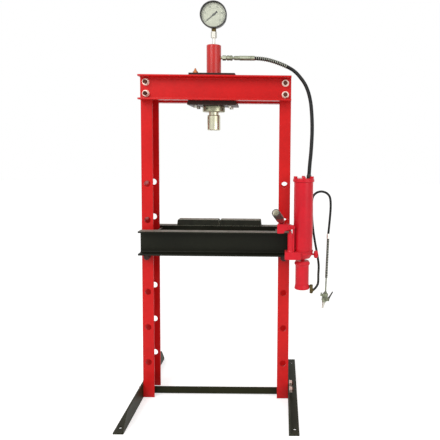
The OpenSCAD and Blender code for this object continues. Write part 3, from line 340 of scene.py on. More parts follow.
    def tool_lines(self) -> None:
        """Fine rings left by turning, or lines left by drawing, along one direction."""
        g, knob, sink = self.start(Effect.TOOL_LINES, "Value", along=None, density=1800.0)
        along = g.times(g.dot(knob["Place"], knob["Along"]), knob["Density"])
        values = {"W": along, "Scale": 1.0, "Detail": 3.0, "Roughness": 0.7}
        lines = g.add("ShaderNodeTexNoise", values, noise_dimensions="1D").outputs["Fac"]
        patches = g.noise(knob["Place"], TOOL_PATCHES)
        g.feed(sink, g.plus(g.times(lines, 0.75), g.times(patches, 0.25)))

    def place(self, graph: Graph, effect: Effect, values: dict[str, object]) -> Socket:
        """Puts an effect in a material.

        Args:
            graph: The material's graph.
            effect: Which effect.
            values: Its inputs.

        Returns:
            The effect's output.
        """
        if effect not in self.groups:
            getattr(self, effect.name.lower())()
        group = self.groups[effect]
        return graph.add("ShaderNodeGroup", values, node_tree=group).outputs[0]


EFFECTS = Effects()


# ---------------------------------------------------------------- finishes


@dataclass
class Bench:
    """An opened material: its graph, its shader and the directions that effects read.

    Attributes:
        material: The material.
        graph: Its graph.
        shader: Its Principled BSDF.
        place: Object coordinates.
        facing: The surface's own direction, in object space.
    """

    material: bpy.types.Material
    graph: Graph
    shader: Node
    place: Socket
    facing: Socket

    @classmethod
    def open(cls, name: str) -> "Bench":
        """Makes a material with an output, a shader and coordinates.

        Args:
            name: The material's name.

        Returns:
            The bench to work on.
        """
        material = bpy.data.materials.new(name)
        material.use_nodes = True
        graph = Graph(material.node_tree)
        shader = graph.add("ShaderNodeBsdfPrincipled")
        graph.add("ShaderNodeOutputMaterial", {"Surface": shader.outputs[0]})
        where = graph.add("ShaderNodeTexCoord")
        return cls(material, graph, shader, where.outputs["Object"], where.outputs["Normal"])

    def effect(self, effect: Effect, **values: object) -> Socket:
        """Places an effect that reads this material's coordinates.

        Args:
            effect: Which effect.
            **values: Its inputs, without their capital letter.

        Returns:
            The effect's output.
        """
        inputs: dict[str, object] = {"Place": self.place}
        inputs.update((name.capitalize(), value) for name, value in values.items())
        if effect in (Effect.LEDGE_DUST, Effect.RUNS):
            inputs["Facing"] = self.facing
        return EFFECTS.place(self.graph, effect, inputs)

    def tones(
        self, mask: Socket, colour: Colour, dark: float, light: float, low: float = 0.3,
        high: float = 0.7,
    ) -> Socket:
        """Runs from a darker to a lighter tone of a colour.

        Args:
            mask: What it follows.
            colour: The colour.
            dark: Factor of the darker tone.
            light: Factor of the lighter tone.
            low: The mask's value at the darker tone.
            high: The mask's value at the lighter tone.

        Returns:
            The uneven colour.
        """
        share = self.graph.band(mask, low, high)
        return self.graph.mix(share, scaled(colour, dark), scaled(colour, light))

    def rough(
        self, clean: float, mask: Socket, swing: float, dull: object = 0.0, rise: float = 0.0,
    ) -> Socket:
        """Makes a roughness that swings with a mask and rises where the surface is dull.

        Args:
            clean: Roughness of a clean area at the mask's middle.
            mask: What it swings with.
            swing: From its least to its most over the mask.
            dull: Mask of the dull areas.
            rise: How much rougher those are.

        Returns:
            The roughness.
        """
        g = self.graph
        even = g.plus(clean - swing / 2, g.times(mask, swing))
        return g.plus(even, g.times(dull, rise), clamp=True)

    def relief(self, height: Socket, depth: float, round_edge: float) -> None:
        """Gives the surface its fine relief and softly rounded edges.

        Args:
            height: The relief, about 0 to 1.
            depth: How deep it is, in metres.
            round_edge: Radius of the edges, in metres.
        """
        edge = self.graph.add("ShaderNodeBevel", {"Radius": round_edge}, samples=EDGE_SAMPLES)
        values = {"Strength": 1.0, "Distance": depth, "Height": height, "Normal": edge.outputs[0]}
        self.set(Normal=self.graph.add("ShaderNodeBump", values).outputs[0])

    def set(self, **values: object) -> None:
        """Sets or joins the shader's sockets, named with underscores for spaces."""
        for name, value in values.items():
            self.graph.feed(self.shader.inputs[name.replace("_", " ")], value)


DUST = srgb(178, 172, 160)
BARE_STEEL = srgb(150, 146, 138)
PRIMER = srgb(84, 80, 76)
WHITE = (1.0, 1.0, 1.0)


@dataclass(frozen=True)
class Surface:
    """What every finish shares: it opens a material and lays itself on it."""

    def make(self, name: str) -> bpy.types.Material:
        """Builds the material.

        Args:
            name: The material's name.

        Returns:
            The material.
        """
        bench = Bench.open(name)
        self.lay(bench)
        return bench.material

    def lay(self, b: Bench) -> None:
        """Lays the finish on its material; each kind of finish has its own way.

        Args:
            b: The opened material.
        """
        raise NotImplementedError(type(self).__name__)


@dataclass(frozen=True)
class Paint(Surface):
    """Sprayed or baked paint over steel.

    Attributes:
        colour: The paint's colour.
        gloss: Roughness of a clean area.
        coat: Strength of the clear top layer.
        skin: Depth of the paint's skin, in metres.
        dust: How much dust lies on ledges.
        chips: How much of the edges is marked: chipped paint, and on the frame and pump reds a painted
            shade along the edges.
        vary: How uneven the colour is.
        under: Colour that shows on the marked edges and rubbed areas: primer, bare steel or dark metal,
            and on the frame and pump reds a darker copy of the paint as painted shade.
        edge: Radius of the edges, in metres.
        shine: Strength of the mirror-like part.
        dusty_from: Height above which dust settles, in metres.
        bare_from: Height above which the paint is rubbed off, in metres.
    """

    colour: Colour
    gloss: float = 0.3
    coat: float = 0.0
    skin: float = 0.00004
    dust: float = 0.22
    chips: float = 0.35
    vary: float = 0.1
    under: Colour = PRIMER
    edge: float = 0.0012
    shine: float = 0.25
    dusty_from: float = -1.0
    bare_from: float = 9.0

    # Tones of runs and scratches, how much a chipped edge and the painted edge shade cover, how ragged
    # and how soft the edge of a rubbed area is in metres, and the clear layer's own roughness.
    RUN_TONE, SCRATCH_TONE, CHIP_COVER = 0.72, 1.7, 0.75
    RAGGED, SOFT, COAT_GLOSS = 0.012, 0.004, 0.12

    def lay(self, b: Bench) -> None:
        """Lays the finish on its material.

        Args:
            b: The opened material.
        """
        g = b.graph
        uneven = b.effect(Effect.MOTTLE, scale=7.0)
        body = b.tones(uneven, self.colour, 1 - self.vary, 1 + self.vary)
        runs = b.effect(Effect.RUNS, scale=55.0, amount=0.22)
        body = g.mix(runs, body, scaled(self.colour, self.RUN_TONE))
        # Marked edges: chipped paint over primer or steel; on the frame and pump reds the darker edge
        # colour is painted shade.
        chips = b.effect(Effect.EDGE_WEAR, width=self.edge, breaks=110.0, cover=self.chips)
        body = g.mix(g.times(chips, self.CHIP_COVER), body, self.under)
        lines = b.effect(Effect.SCRATCHES, scale=9.0, amount=0.3)
        body = g.mix(lines, body, scaled(self.colour, self.SCRATCH_TONE))
        height = g.rise(b.place)
        ragged = g.plus(height, g.times(uneven, self.RAGGED))
        bare = g.band(ragged, self.bare_from, self.bare_from + self.SOFT)
        body = g.mix(bare, body, self.under)
        amount = g.times(g.math("GREATER_THAN", height, self.dusty_from), self.dust)
        dust = b.effect(Effect.LEDGE_DUST, amount=amount, scale=30.0)
        rough = b.rough(self.gloss, uneven, 0.1, dull=g.most(lines, chips, dust), rise=0.4)
        b.set(Base_Color=g.mix(dust, body, DUST), Roughness=rough, Specular_IOR_Level=self.shine)
        b.set(Coat_Weight=self.coat, Coat_Roughness=self.COAT_GLOSS)
        b.relief(b.effect(Effect.PEEL, scale=520.0, wave=1.2), self.skin, self.edge)


@dataclass(frozen=True)
class Casting(Surface):
    """Rough cast metal beneath a thin coat.

    Attributes:
        colour: The coat's colour.
        worn: Colour of rubbed edges; on the arbor plates it is also a painted highlight.
        gloss: Roughness of a clean area.
        grain: Depth of the grain, in metres.
        dust: How much dust lies on ledges.
        metal: Metallic value of the surface.
        wear: How much of the edges is rubbed, with the painted highlight where there is one.
        vary: How uneven the colour is.
        patch: Patches of colour per metre.
        edge: Width of the rubbed edges, in metres.
        shine: Strength of the mirror-like part.
        corner: Radius of the corners, in metres.
    """

    colour: Colour
    worn: Colour = BARE_STEEL
    gloss: float = 0.5
    grain: float = 0.00025
    dust: float = 0.35
    metal: float = 0.0
    wear: float = 0.45
    vary: float = 0.22
    patch: float = 14.0
    edge: float = 0.0016
    shine: float = 0.5
    corner: float = 0.0012

    # Tone and share of the grain's peaks, and how much a rubbed edge covers, its painted highlight
    # included where there is one.
    PEAK_TONE, PEAK_SHARE, EDGE_COVER = 1.8, 0.35, 0.7

    def lay(self, b: Bench) -> None:
        """Lays the finish on its material.

        Args:
            b: The opened material.
        """
        g = b.graph
        grain = b.effect(Effect.CAST_GRAIN, scale=420.0, pits=0.5)
        uneven = b.effect(Effect.MOTTLE, scale=self.patch, offset=2.0)
        body = b.tones(uneven, self.colour, 1 - self.vary, 1 + self.vary, 0.34, 0.66)
        peaks = g.times(g.band(grain, 0.5, 1.1), self.PEAK_SHARE)
        body = g.mix(peaks, body, scaled(self.colour, self.PEAK_TONE))
        # Rubbed edges of bare metal; on the cast arbor plates their pale colour is also a painted
        # highlight along the top rim.
        edge = b.effect(Effect.EDGE_WEAR, width=self.edge, breaks=140.0, cover=self.wear)
        edge = g.times(edge, self.EDGE_COVER)
        body = g.mix(edge, body, self.worn)
        dust = b.effect(Effect.LEDGE_DUST, amount=self.dust, scale=40.0)
        rough = b.rough(self.gloss - 0.03, grain, 0.14, dull=dust, rise=0.3)
        b.set(Base_Color=g.mix(dust, body, DUST), Roughness=rough, Specular_IOR_Level=self.shine)
        b.set(Metallic=g.most(self.metal, edge))
        b.relief(grain, self.grain, self.corner)


@dataclass(frozen=True)
class Machined(Surface):
    """Turned, drawn or plated metal.

    Attributes:
        colour: The metal's colour.
        tarnish: Colour of its dull patches.
        gloss: Roughness of a clean area.
        lines: Lines per metre.
        depth: Depth of the lines, in metres.
        dull: How much of it is dull.
        edge: Radius of the edges, in metres.
    """

    colour: Colour
    tarnish: Colour
    gloss: float = 0.28
    lines: float = 1600.0
    depth: float = 0.00002
    dull: float = 0.4
    edge: float = 0.0008

    # Tone of rubbed edges, and how much they cover.
    EDGE_TONE, EDGE_COVER = 1.5, 0.4

    def lay(self, b: Bench) -> None:
        """Lays the finish on its material.

        Args:
            b: The opened material.
        """
        g = b.graph
        tool = b.effect(Effect.TOOL_LINES, along=(0.0, 0.0, 1.0), density=self.lines)
        uneven = b.effect(Effect.MOTTLE, scale=26.0, offset=5.0)
        patch = g.times(g.band(uneven, 0.42, 0.66), self.dull)
        body = g.mix(patch, b.tones(tool, self.colour, dark=0.86, light=1.1), self.tarnish)
        edge = b.effect(Effect.EDGE_WEAR, width=self.edge, breaks=200.0, cover=0.9)
        body = g.mix(g.times(edge, self.EDGE_COVER), body, scaled(self.colour, self.EDGE_TONE))
        rough = b.rough(self.gloss, tool, 0.16, dull=patch, rise=0.35)
        b.set(Base_Color=body, Roughness=rough, Metallic=1.0)
        b.relief(tool, self.depth, self.edge)


@dataclass(frozen=True)
class Rubber(Surface):
    """Black rubber or soft plastic.

    Attributes:
        colour: Its colour.
        gloss: Roughness of a clean area.
        dust: How much dust lies on it.
        shine: Strength of the mirror-like part.
        grain: Depth of its skin's grain, in metres.
        edge: Radius of the edges, in metres.
    """

    colour: Colour
    gloss: float = 0.45
    dust: float = 0.2
    shine: float = 0.2
    grain: float = 0.00006
    edge: float = 0.0005

    SCUFF_TONE = 5.0

    def lay(self, b: Bench) -> None:
        """Lays the finish on its material.

        Args:
            b: The opened material.
        """
        g = b.graph
        uneven = b.effect(Effect.MOTTLE, scale=40.0, offset=3.0)
        scuffs = b.effect(Effect.SCRATCHES, scale=30.0, amount=0.25)
        body = b.tones(uneven, self.colour, dark=0.7, light=1.5)
        body = g.mix(scuffs, body, scaled(self.colour, self.SCUFF_TONE))
        dust = b.effect(Effect.LEDGE_DUST, amount=self.dust, scale=60.0)
        rough = b.rough(self.gloss, uneven, 0.16, dull=dust, rise=0.3)
        b.set(Base_Color=g.mix(dust, body, DUST), Roughness=rough, Specular_IOR_Level=self.shine)
        b.relief(b.effect(Effect.PEEL, scale=1400.0, wave=0.4), self.grain, self.edge)


@dataclass(frozen=True)
class Window(Surface):
    """Clear window that lets lamps through, with a faint haze of dust.

    Attributes:
        tint: The glass's colour.
        passed: Colour of lamp light that goes through it.
        bend: How strongly it bends light.
    """

    tint: Colour = (0.96, 0.98, 0.97)
    passed: Colour = (0.94, 0.96, 0.95)
    bend: float = 1.45

    def lay(self, b: Bench) -> None:
        """Lays the finish on its material.

        Args:
            b: The opened material.
        """
        g = b.graph
        haze = b.effect(Effect.MOTTLE, scale=60.0)
        b.set(Base_Color=self.tint, Roughness=g.band(haze, 0.35, 0.8, start=0.015, end=0.07))
        b.set(Transmission_Weight=1.0, IOR=self.bend)
        clear = g.add("ShaderNodeBsdfTransparent", {"Color": self.passed}).outputs[0]
        path = g.add("ShaderNodeLightPath").outputs
        passing = g.most(path["Is Shadow Ray"], path["Is Diffuse Ray"])
        both = g.add("ShaderNodeMixShader", {0: passing, 1: b.shader.outputs[0], 2: clear})
        g.feed(g.tree.nodes["Material Output"].inputs["Surface"], both.outputs[0])


@dataclass(frozen=True)
class Ink(Surface):
    """Printed marks or a printed sheet, with the paper's fine grain.

    Attributes:
        colour: Its colour.
        gloss: Its roughness.
        grain: Depth of the paper's grain, in metres.
        edge: Radius of the edges, in metres.
    """

    colour: Colour
    gloss: float
    grain: float = 0.00001
    edge: float = 0.0002

    def lay(self, b: Bench) -> None:
        """Lays the finish on its material.

        Args:
            b: The opened material.
        """
        uneven = b.effect(Effect.MOTTLE, scale=90.0)
        body = b.tones(uneven, self.colour, dark=0.93, light=1.05)
        b.set(Base_Color=body, Roughness=b.rough(self.gloss, uneven, 0.08))
        b.relief(b.effect(Effect.PEEL, scale=2600.0, wave=0.2), self.grain, self.edge)


class Finish(Enum):
    """Every finish on the press, named for what it covers."""

    # Its dark red edge colour and wide, heavily marked edges are painted shade, darkening the flange
    # edges like a shadow line.
    FRAME_RED = Paint(
        srgb(202, 24, 24), gloss=0.34, dust=0.04, chips=0.6, under=srgb(92, 26, 24), edge=0.002,
        shine=0.2,
    )
    BARREL_RED = Paint(srgb(196, 38, 33), gloss=0.26, coat=0.1, dust=0.05, shine=0.35)
    # The bed pins' dark red-brown is painted shade: the pins are darkened to match the shadow beneath
    # the bed.
    PIN_BROWN = Paint(srgb(58, 26, 22), gloss=0.45, dust=0.1, chips=0.5)
    # Its dark crimson edge colour is a darker copy of the paint: painted shade along the edges.
    PUMP_RED = Paint(
        srgb(208, 24, 40), gloss=0.3, dust=0.06, chips=0.5, under=srgb(104, 22, 34), edge=0.0016,
        shine=0.24,
    )
    # Its dark red is partly painted shade, a darker copy of the pump's red; its dark brown top end is
    # bare of paint.
    SOCKET_PAINT = Paint(
        srgb(128, 26, 28), gloss=0.4, dust=0.05, chips=0.8, vary=0.2, under=srgb(50, 40, 32),
        shine=0.4, bare_from=0.802,
    )
    BED_BLACK = Paint(
        srgb(26, 27, 19), gloss=0.42, dust=0.66, chips=0.5, vary=0.2, under=BARE_STEEL, shine=0.12,
        dusty_from=0.7,
    )
    FOOT_OLIVE = Paint(
        srgb(32, 33, 15), gloss=0.5, dust=0.03, chips=0.45, vary=0.18, under=BARE_STEEL, shine=0.12,
    )
    PLATE_DARK = Paint(
        srgb(46, 24, 18), gloss=0.42, dust=0.3, chips=0.5, vary=0.25, under=BARE_STEEL, shine=0.2,
    )
    GAUGE_BLACK = Paint(
        srgb(40, 40, 36), gloss=0.26, dust=0.2, chips=0.3, vary=0.12, under=BARE_STEEL, edge=0.0006,
        shine=0.5,
    )
    # The pale, wide, nearly unbroken edges are partly rubbed metal, partly a painted highlight along
    # the plates' top rim.
    CAST_BLACK = Casting(
        srgb(27, 28, 20), worn=srgb(158, 160, 140), dust=0.9, wear=0.9, vary=0.5, patch=40.0,
        edge=0.0035, shine=0.2,
    )
    VALVE_CAST = Casting(
        srgb(108, 112, 94), gloss=0.34, grain=0.0003, dust=0.1, metal=0.8, vary=0.8, patch=75.0,
    )
    # Near-white and not metallic: bare turned metal brightened as painted light against the shade
    # inside the bore.
    BORE_PALE = Casting(
        srgb(236, 233, 214), gloss=0.55, grain=0.00006, dust=0.0, wear=0.0, vary=0.12,
    )
    PALE_ZINC = Machined(srgb(238, 236, 228), srgb(204, 202, 192), gloss=0.42, dull=0.35)
    ZINC = Machined(srgb(196, 194, 184), srgb(150, 148, 138), gloss=0.34)
    FITTING_STEEL = Machined(srgb(166, 170, 150), srgb(108, 112, 92), gloss=0.38, dull=0.7)
    NUT_ZINC = Machined(srgb(232, 208, 196), srgb(190, 164, 150), gloss=0.42, dull=0.35)
    BOLT_BROWN = Machined(srgb(92, 56, 46), srgb(58, 34, 28), gloss=0.5, dull=0.6)
    BLACK_OXIDE = Machined(srgb(74, 73, 69), srgb(46, 45, 42), gloss=0.42, dull=0.6)
    BRIGHT_STEEL = Machined(
        srgb(200, 198, 174), srgb(150, 148, 122), gloss=0.24, lines=900.0, depth=0.00003,
    )
    RING_STEEL = Machined(
        srgb(168, 168, 142), srgb(112, 112, 92), gloss=0.3, lines=900.0, depth=0.00003, dull=0.7,
    )
    SPRING_STEEL = Machined(srgb(120, 118, 112), srgb(80, 78, 74), gloss=0.38)
    WIRE_STEEL = Machined(srgb(184, 186, 172), srgb(116, 118, 106), gloss=0.34, dull=0.4)
    BRASS = Machined(srgb(186, 116, 72), srgb(120, 70, 44), gloss=0.36, dull=0.6)
    OLD_BRASS = Machined(srgb(112, 96, 60), srgb(66, 62, 44), gloss=0.42, dull=0.8)
    DIAL_SHEET = Ink(srgb(203, 201, 183), 0.55)
    INK_GREY = Ink(srgb(52, 54, 48), 0.45)
    HOSE_RUBBER = Rubber(srgb(20, 22, 22))
    SEAL_RUBBER = Rubber(srgb(22, 22, 22), gloss=0.55, dust=0.0)
    GAUGE_WINDOW = Window()


class Paintbox:
    """Makes each finish's material the first time that it is asked for."""

    def __init__(self) -> None:
        """Starts with no material made."""
        self.made: dict[Finish, bpy.types.Material] = {}

    def get(self, finish: Finish) -> bpy.types.Material:
        """Finds a finish's material, making it if needed.

        Args:
            finish: The finish.

        Returns:
            Its material.
        """
        if finish not in self.made:
            self.made[finish] = finish.value.make(finish.name.lower())
        return self.made[finish]


PAINTBOX = Paintbox()


# ---------------------------------------------------------------- making pieces


def dress(finishes: dict[Finish, Sequence[str]]) -> None:
    """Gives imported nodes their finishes.

    Args:
        finishes: The nodes that each finish covers.
    """
    for finish, names in finishes.items():
        for name in names:
            materials = frame["nodes"][name].data.materials
            materials.clear()
            materials.append(PAINTBOX.get(finish))
            LOG.info("%s finished in %s", name, finish.name.lower())


def fit_piece(piece: Piece, body: str, replaced: Sequence[str] = ()) -> None:
    """Makes a finished piece ride on its body.

    Args:
        piece: The finished piece.
        body: The body it moves with.
        replaced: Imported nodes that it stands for.
    """
    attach(piece, body)
    if replaced:
        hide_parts(*replaced)
    LOG.info("%s rides on %s", piece.name, body)


def linked(name: str, data: bpy.types.ID) -> Piece:
    """Links a mesh, curve, lamp or camera as a new object at the origin.

    Args:
        name: The object's name.
        data: The mesh, curve, lamp or camera.

    Returns:
        The object.
    """
    piece = bpy.data.objects.new(name, data)
    bpy.context.scene.collection.objects.link(piece)
    return piece


def plain_mesh(source: Piece) -> bpy.types.Mesh:
    """Turns an object, with what its modifiers make, into a plain mesh.

    Args:
        source: The object, removed afterwards.

    Returns:
        The mesh.
    """
    graph = bpy.context.evaluated_depsgraph_get()
    graph.update()
    mesh = bpy.data.meshes.new_from_object(source.evaluated_get(graph), depsgraph=graph)
    source.modifiers.clear()
    bpy.data.objects.remove(source)
    return mesh


def mesh_of(shape: bmesh.types.BMesh, name: str, finish: Finish) -> bpy.types.Mesh:
    """Turns a finished shape into a mesh.

    Args:
        shape: The shape, freed afterwards.
        name: The mesh's name.
        finish: Its finish.

    Returns:
        The mesh.
    """
    mesh = bpy.data.meshes.new(name)
    shape.to_mesh(mesh)
    shape.free()
    mesh.materials.append(PAINTBOX.get(finish))
    return mesh


def round_angles(count: int) -> list[float]:
    """Angles of equal steps round a full turn."""
    return [FULL_TURN * k / count for k in range(count)]


def add_loops(
    shape: bmesh.types.BMesh, loops: Sequence[Sequence[Point]], *, closed: bool = False,
    inward: bool = False,
) -> list[list[bmesh.types.BMVert]]:
    """Adds a skin over neighbouring closed loops of points.

    Args:
        shape: The shape to add to.
        loops: The points of each loop, in metres.
        closed: Whether the last loop joins the first.
        inward: Whether the faces look to the inside of the loops.

    Returns:
        The points of each loop, as added.
    """
    rows = [[shape.verts.new(point) for point in loop] for loop in loops]
    for here, ahead in zip(rows, rows[1:] + (rows[:1] if closed else [])):
        for k in range(len(here)):
            low, high = k, (k + 1) % len(here)
            if inward:
                low, high = high, low
            shape.faces.new((here[low], here[high], ahead[high], ahead[low]))
    return rows


FULL_SIZE = (1.0, 1.0, 1.0)


class ShapeTree(Graph):
    """A Geometry Nodes tree that is run once on a carrier and leaves a plain mesh."""

    def __init__(self, name: str, **sizes: float) -> None:
        """Opens the tree with its named inputs.

        Args:
            name: The tree's name.
            **sizes: Each input's starting value; a whole number makes a whole-number input.
        """
        tree = bpy.data.node_groups.new(name, "GeometryNodeTree")
        super().__init__(tree)
        tree.interface.new_socket("Geometry", in_out="INPUT", socket_type="NodeSocketGeometry")
        self.keys: dict[str, str] = {}
        for label, value in sizes.items():
            kind = "NodeSocketInt" if isinstance(value, int) else "NodeSocketFloat"
            socket = tree.interface.new_socket(label, in_out="INPUT", socket_type=kind)
            socket.default_value = value
            self.keys[label] = socket.identifier
        socket = tree.interface.new_socket("material", in_out="INPUT", socket_type="NodeSocketMaterial")
        self.keys["material"] = socket.identifier
        tree.interface.new_socket("Geometry", in_out="OUTPUT", socket_type="NodeSocketGeometry")
        self.size = self.add("NodeGroupInput").outputs
        self.sink = self.add("NodeGroupOutput").inputs[0]

    def spaced(self, curve: Socket, step: Socket) -> Socket:
        """Gives a curve points at equal steps."""
        values = {"Curve": curve, "Length": step}
        return self.add("GeometryNodeResampleCurve", values, mode="LENGTH").outputs[0]

    def tube(self, curve: Socket, radius: Socket, sides: int) -> Socket:
        """Makes a solid bar along a curve.

        Args:
            curve: The curve.
            radius: The bar's radius.
            sides: How many sides it has.

        Returns:
            The bar.
        """
        ring = self.add("GeometryNodeCurvePrimitiveCircle", {"Resolution": sides, "Radius": radius})
        values = {"Curve": curve, "Profile Curve": ring.outputs[0], "Fill Caps": True}
        return self.add("GeometryNodeCurveToMesh", values).outputs[0]

    def turned_to(self, direction: Socket) -> Socket:
        """Makes the turn that points the Z axis along a direction."""
        return self.add("FunctionNodeAlignRotationToVector", {"Vector": direction}, axis="Z").outputs[0]

    def copies(self, points: Socket, shape: Socket, turn: Socket, size: object = FULL_SIZE) -> Socket:
        """Places a copy of a shape on each point.

        Args:
            points: The points.
            shape: The shape.
            turn: How each copy is turned.
            size: How large each copy is.

        Returns:
            The copies.
        """
        values = {"Points": points, "Instance": shape, "Rotation": turn, "Scale": size}
        return self.add("GeometryNodeInstanceOnPoints", values).outputs[0]

    def close(self, shape: Socket, smooth: bool = True) -> None:
        """Ends the tree: real geometry with its material.

        Args:
            shape: The geometry so far.
            smooth: Whether its faces are shaded smooth.
        """
        real = self.add("GeometryNodeRealizeInstances", {0: shape}).outputs[0]
        values = {"Geometry": real, "Shade Smooth": smooth}
        shaded = self.add("GeometryNodeSetShadeSmooth", values).outputs[0]
        values = {"Geometry": shaded, "Material": self.size["material"]}
        self.feed(self.sink, self.add("GeometryNodeSetMaterial", values).outputs[0])

    def run(self, carrier: Piece, name: str, finish: Finish, **sizes: float) -> Piece:
        """Runs the tree on a carrier and replaces it by a plain mesh.

        Args:
            carrier: The object that the tree starts from, removed afterwards.
            name: Name of the piece.
            finish: Its finish.
            **sizes: The named inputs' values.

        Returns:
            The piece, with its place in its mesh.
        """
        modifier = carrier.modifiers.new(self.tree.name, "NODES")
        modifier.node_group = self.tree
        for label, value in {**sizes, "material": PAINTBOX.get(finish)}.items():
            modifier[self.keys[label]] = value
        mesh = plain_mesh(carrier)
        mesh.name = name
        return linked(name, mesh)


def lines_carrier(name: str, lines: Sequence[Sequence[Point]]) -> Piece:
    """Makes a wire mesh of open lines for a shape tree to follow.

    Args:
        name: The carrier's name.
        lines: The lines' points, in millimetres.

    Returns:
        The carrier.
    """
    mesh = bpy.data.meshes.new(name)
    points: list[Vector] = []
    edges: list[tuple[int, int]] = []
    for line in lines:
        start = len(points)
        points += [Vector(point) * MM for point in line]
        edges += [(start + k, start + k + 1) for k in range(len(line) - 1)]
    mesh.from_pydata(points, edges, [])
    return linked(name, mesh)


def aimed_carrier(name: str, spots: Sequence[tuple[Point, Point]]) -> Piece:
    """Makes loose points that each hold a direction.

    Args:
        name: The carrier's name.
        spots: Each point in millimetres, with its direction.

    Returns:
        The carrier.
    """
    mesh = bpy.data.meshes.new(name)
    mesh.from_pydata([Vector(spot) * MM for spot, _ in spots], [], [])
    aim = mesh.attributes.new("aim", "FLOAT_VECTOR", "POINT")
    for k, (_, direction) in enumerate(spots):
        aim.data[k].vector = direction
    return linked(name, mesh)


class WeldTree(ShapeTree):
    """Rippled weld beads along lines."""

    # A ripple is a flattened drop of metal, and its size varies a little.
    SEGMENTS, RINGS = 10, 6
    FLATNESS = (1.0, 1.0, 0.62)
    LEAST, MOST = 0.86, 1.12

    def __init__(self) -> None:
        """Builds the tree."""
        super().__init__("weld bead", radius=0.0025, step=0.0018, seed=SEED)
        line = self.add("GeometryNodeMeshToCurve", {"Mesh": self.size["Geometry"]}).outputs[0]
        spots = self.spaced(line, self.size["step"])
        values = {"Segments": self.SEGMENTS, "Rings": self.RINGS, "Radius": self.size["radius"]}
        drop = self.add("GeometryNodeMeshUVSphere", values).outputs[0]
        values = {"Geometry": drop, "Scale": self.FLATNESS}
        ripple = self.add("GeometryNodeTransform", values).outputs[0]
        turn = self.turned_to(self.add("GeometryNodeInputTangent").outputs[0])
        values = {"Min": self.LEAST, "Max": self.MOST, "Seed": self.size["seed"]}
        size = self.add("FunctionNodeRandomValue", values, data_type="FLOAT").outputs
        number = next(s for s in size if s.enabled and s.type == "VALUE")
        self.close(self.copies(spots, ripple, turn, number))


@dataclass(frozen=True)
class Bead:
    """A weld bead.

    Attributes:
        radius: Its radius, in metres.
        ripple: From one ripple to the next, in metres.
    """

    radius: float
    ripple: float

    def weld(self, name: str, lines: Sequence[Sequence[Point]], finish: Finish) -> Piece:
        """Lays the bead along lines.

        Args:
            name: Name of the piece.
            lines: The lines, in millimetres.
            finish: The bead's finish.

        Returns:
            The beads.
        """
        carrier = lines_carrier(name + "_lines", lines)
        return WeldTree().run(carrier, name, finish, radius=self.radius, step=self.ripple)


class CoilTree(ShapeTree):
    """A wire wound round a path."""

    STEPS_PER_TURN = 14.0
    WIRE_SIDES = 8

    def __init__(self) -> None:
        """Builds the tree."""
        super().__init__("wound wire", radius=0.008, pitch=0.003, wire=0.0012)
        step = self.math("DIVIDE", self.size["pitch"], self.STEPS_PER_TURN)
        path = self.spaced(self.size["Geometry"], step)
        travelled = self.add("GeometryNodeSplineParameter").outputs["Length"]
        angle = self.times(self.math("DIVIDE", travelled, self.size["pitch"]), FULL_TURN)
        across = self.add("GeometryNodeInputNormal").outputs[0]
        third = self.vector("CROSS_PRODUCT", self.add("GeometryNodeInputTangent").outputs[0], across)
        first = self.stretched(across, self.math("COSINE", angle))
        second = self.stretched(third, self.math("SINE", angle))
        out = self.stretched(self.vector("ADD", first, second), self.size["radius"])
        moved = self.add("GeometryNodeSetPosition", {"Geometry": path, "Offset": out}).outputs[0]
        self.close(self.tube(moved, self.size["wire"], self.WIRE_SIDES))

    def stretched(self, direction: Socket, amount: Socket) -> Socket:
        """Makes a direction as long as an amount."""
        values = {0: direction, "Scale": amount}
        return self.add("ShaderNodeVectorMath", values, operation="SCALE").outputs[0]


class ThreadTree(ShapeTree):
    """Screw threads round shanks that stand at aimed points."""

    STEPS_PER_TURN = 28
    CREST_SIDES = 3

    def __init__(self) -> None:
        """Builds the tree."""
        super().__init__("screw thread", radius=0.008, pitch=0.002, length=0.009, crest=0.0007)
        radius, length = self.size["radius"], self.size["length"]
        turns = self.math("DIVIDE", length, self.size["pitch"])
        helix = self.add("GeometryNodeCurveSpiral", {
            "Resolution": self.STEPS_PER_TURN, "Rotations": turns,
            "Start Radius": radius, "End Radius": radius, "Height": length,
        }).outputs[0]
        body = self.tube(helix, self.size["crest"], self.CREST_SIDES)
        aim = self.add("GeometryNodeInputNamedAttribute", {"Name": "aim"}, data_type="FLOAT_VECTOR")
        turn = self.turned_to(aim.outputs[0])
        self.close(self.copies(self.size["Geometry"], body, turn), smooth=False)


class DialMarkTree(ShapeTree):
    """Flat marks round an arc of a dial that lies square to the Y axis."""

    def __init__(self) -> None:
        """Builds the tree."""
        super().__init__(
            "dial marks", radius=0.045, start=math.radians(220), sweep=math.radians(260), count=27,
            length=0.004, width=0.0006, thickness=0.00015,
        )
        size = self.size
        line = self.add("GeometryNodeMeshLine", {"Count": size["count"]}).outputs[0]
        order = self.add("GeometryNodeInputIndex").outputs[0]
        share = self.math("DIVIDE", order, self.math("SUBTRACT", size["count"], 1.0))
        angle = self.math("SUBTRACT", size["start"], self.times(share, size["sweep"]))
        across = self.times(self.math("COSINE", angle), size["radius"])
        up = self.times(self.math("SINE", angle), size["radius"])
        place = self.add("ShaderNodeCombineXYZ", {"X": across, "Z": up}).outputs[0]
        ring = self.add("GeometryNodeSetPosition", {"Geometry": line, "Position": place}).outputs[0]
        values = {"X": size["length"], "Y": size["thickness"], "Z": size["width"]}
        sides = self.add("ShaderNodeCombineXYZ", values).outputs[0]
        mark = self.add("GeometryNodeMeshCube", {"Size": sides}).outputs[0]
        turn = self.add("ShaderNodeCombineXYZ", {"Y": self.times(angle, -1.0)}).outputs[0]
        self.close(self.copies(ring, mark, turn), smooth=False)


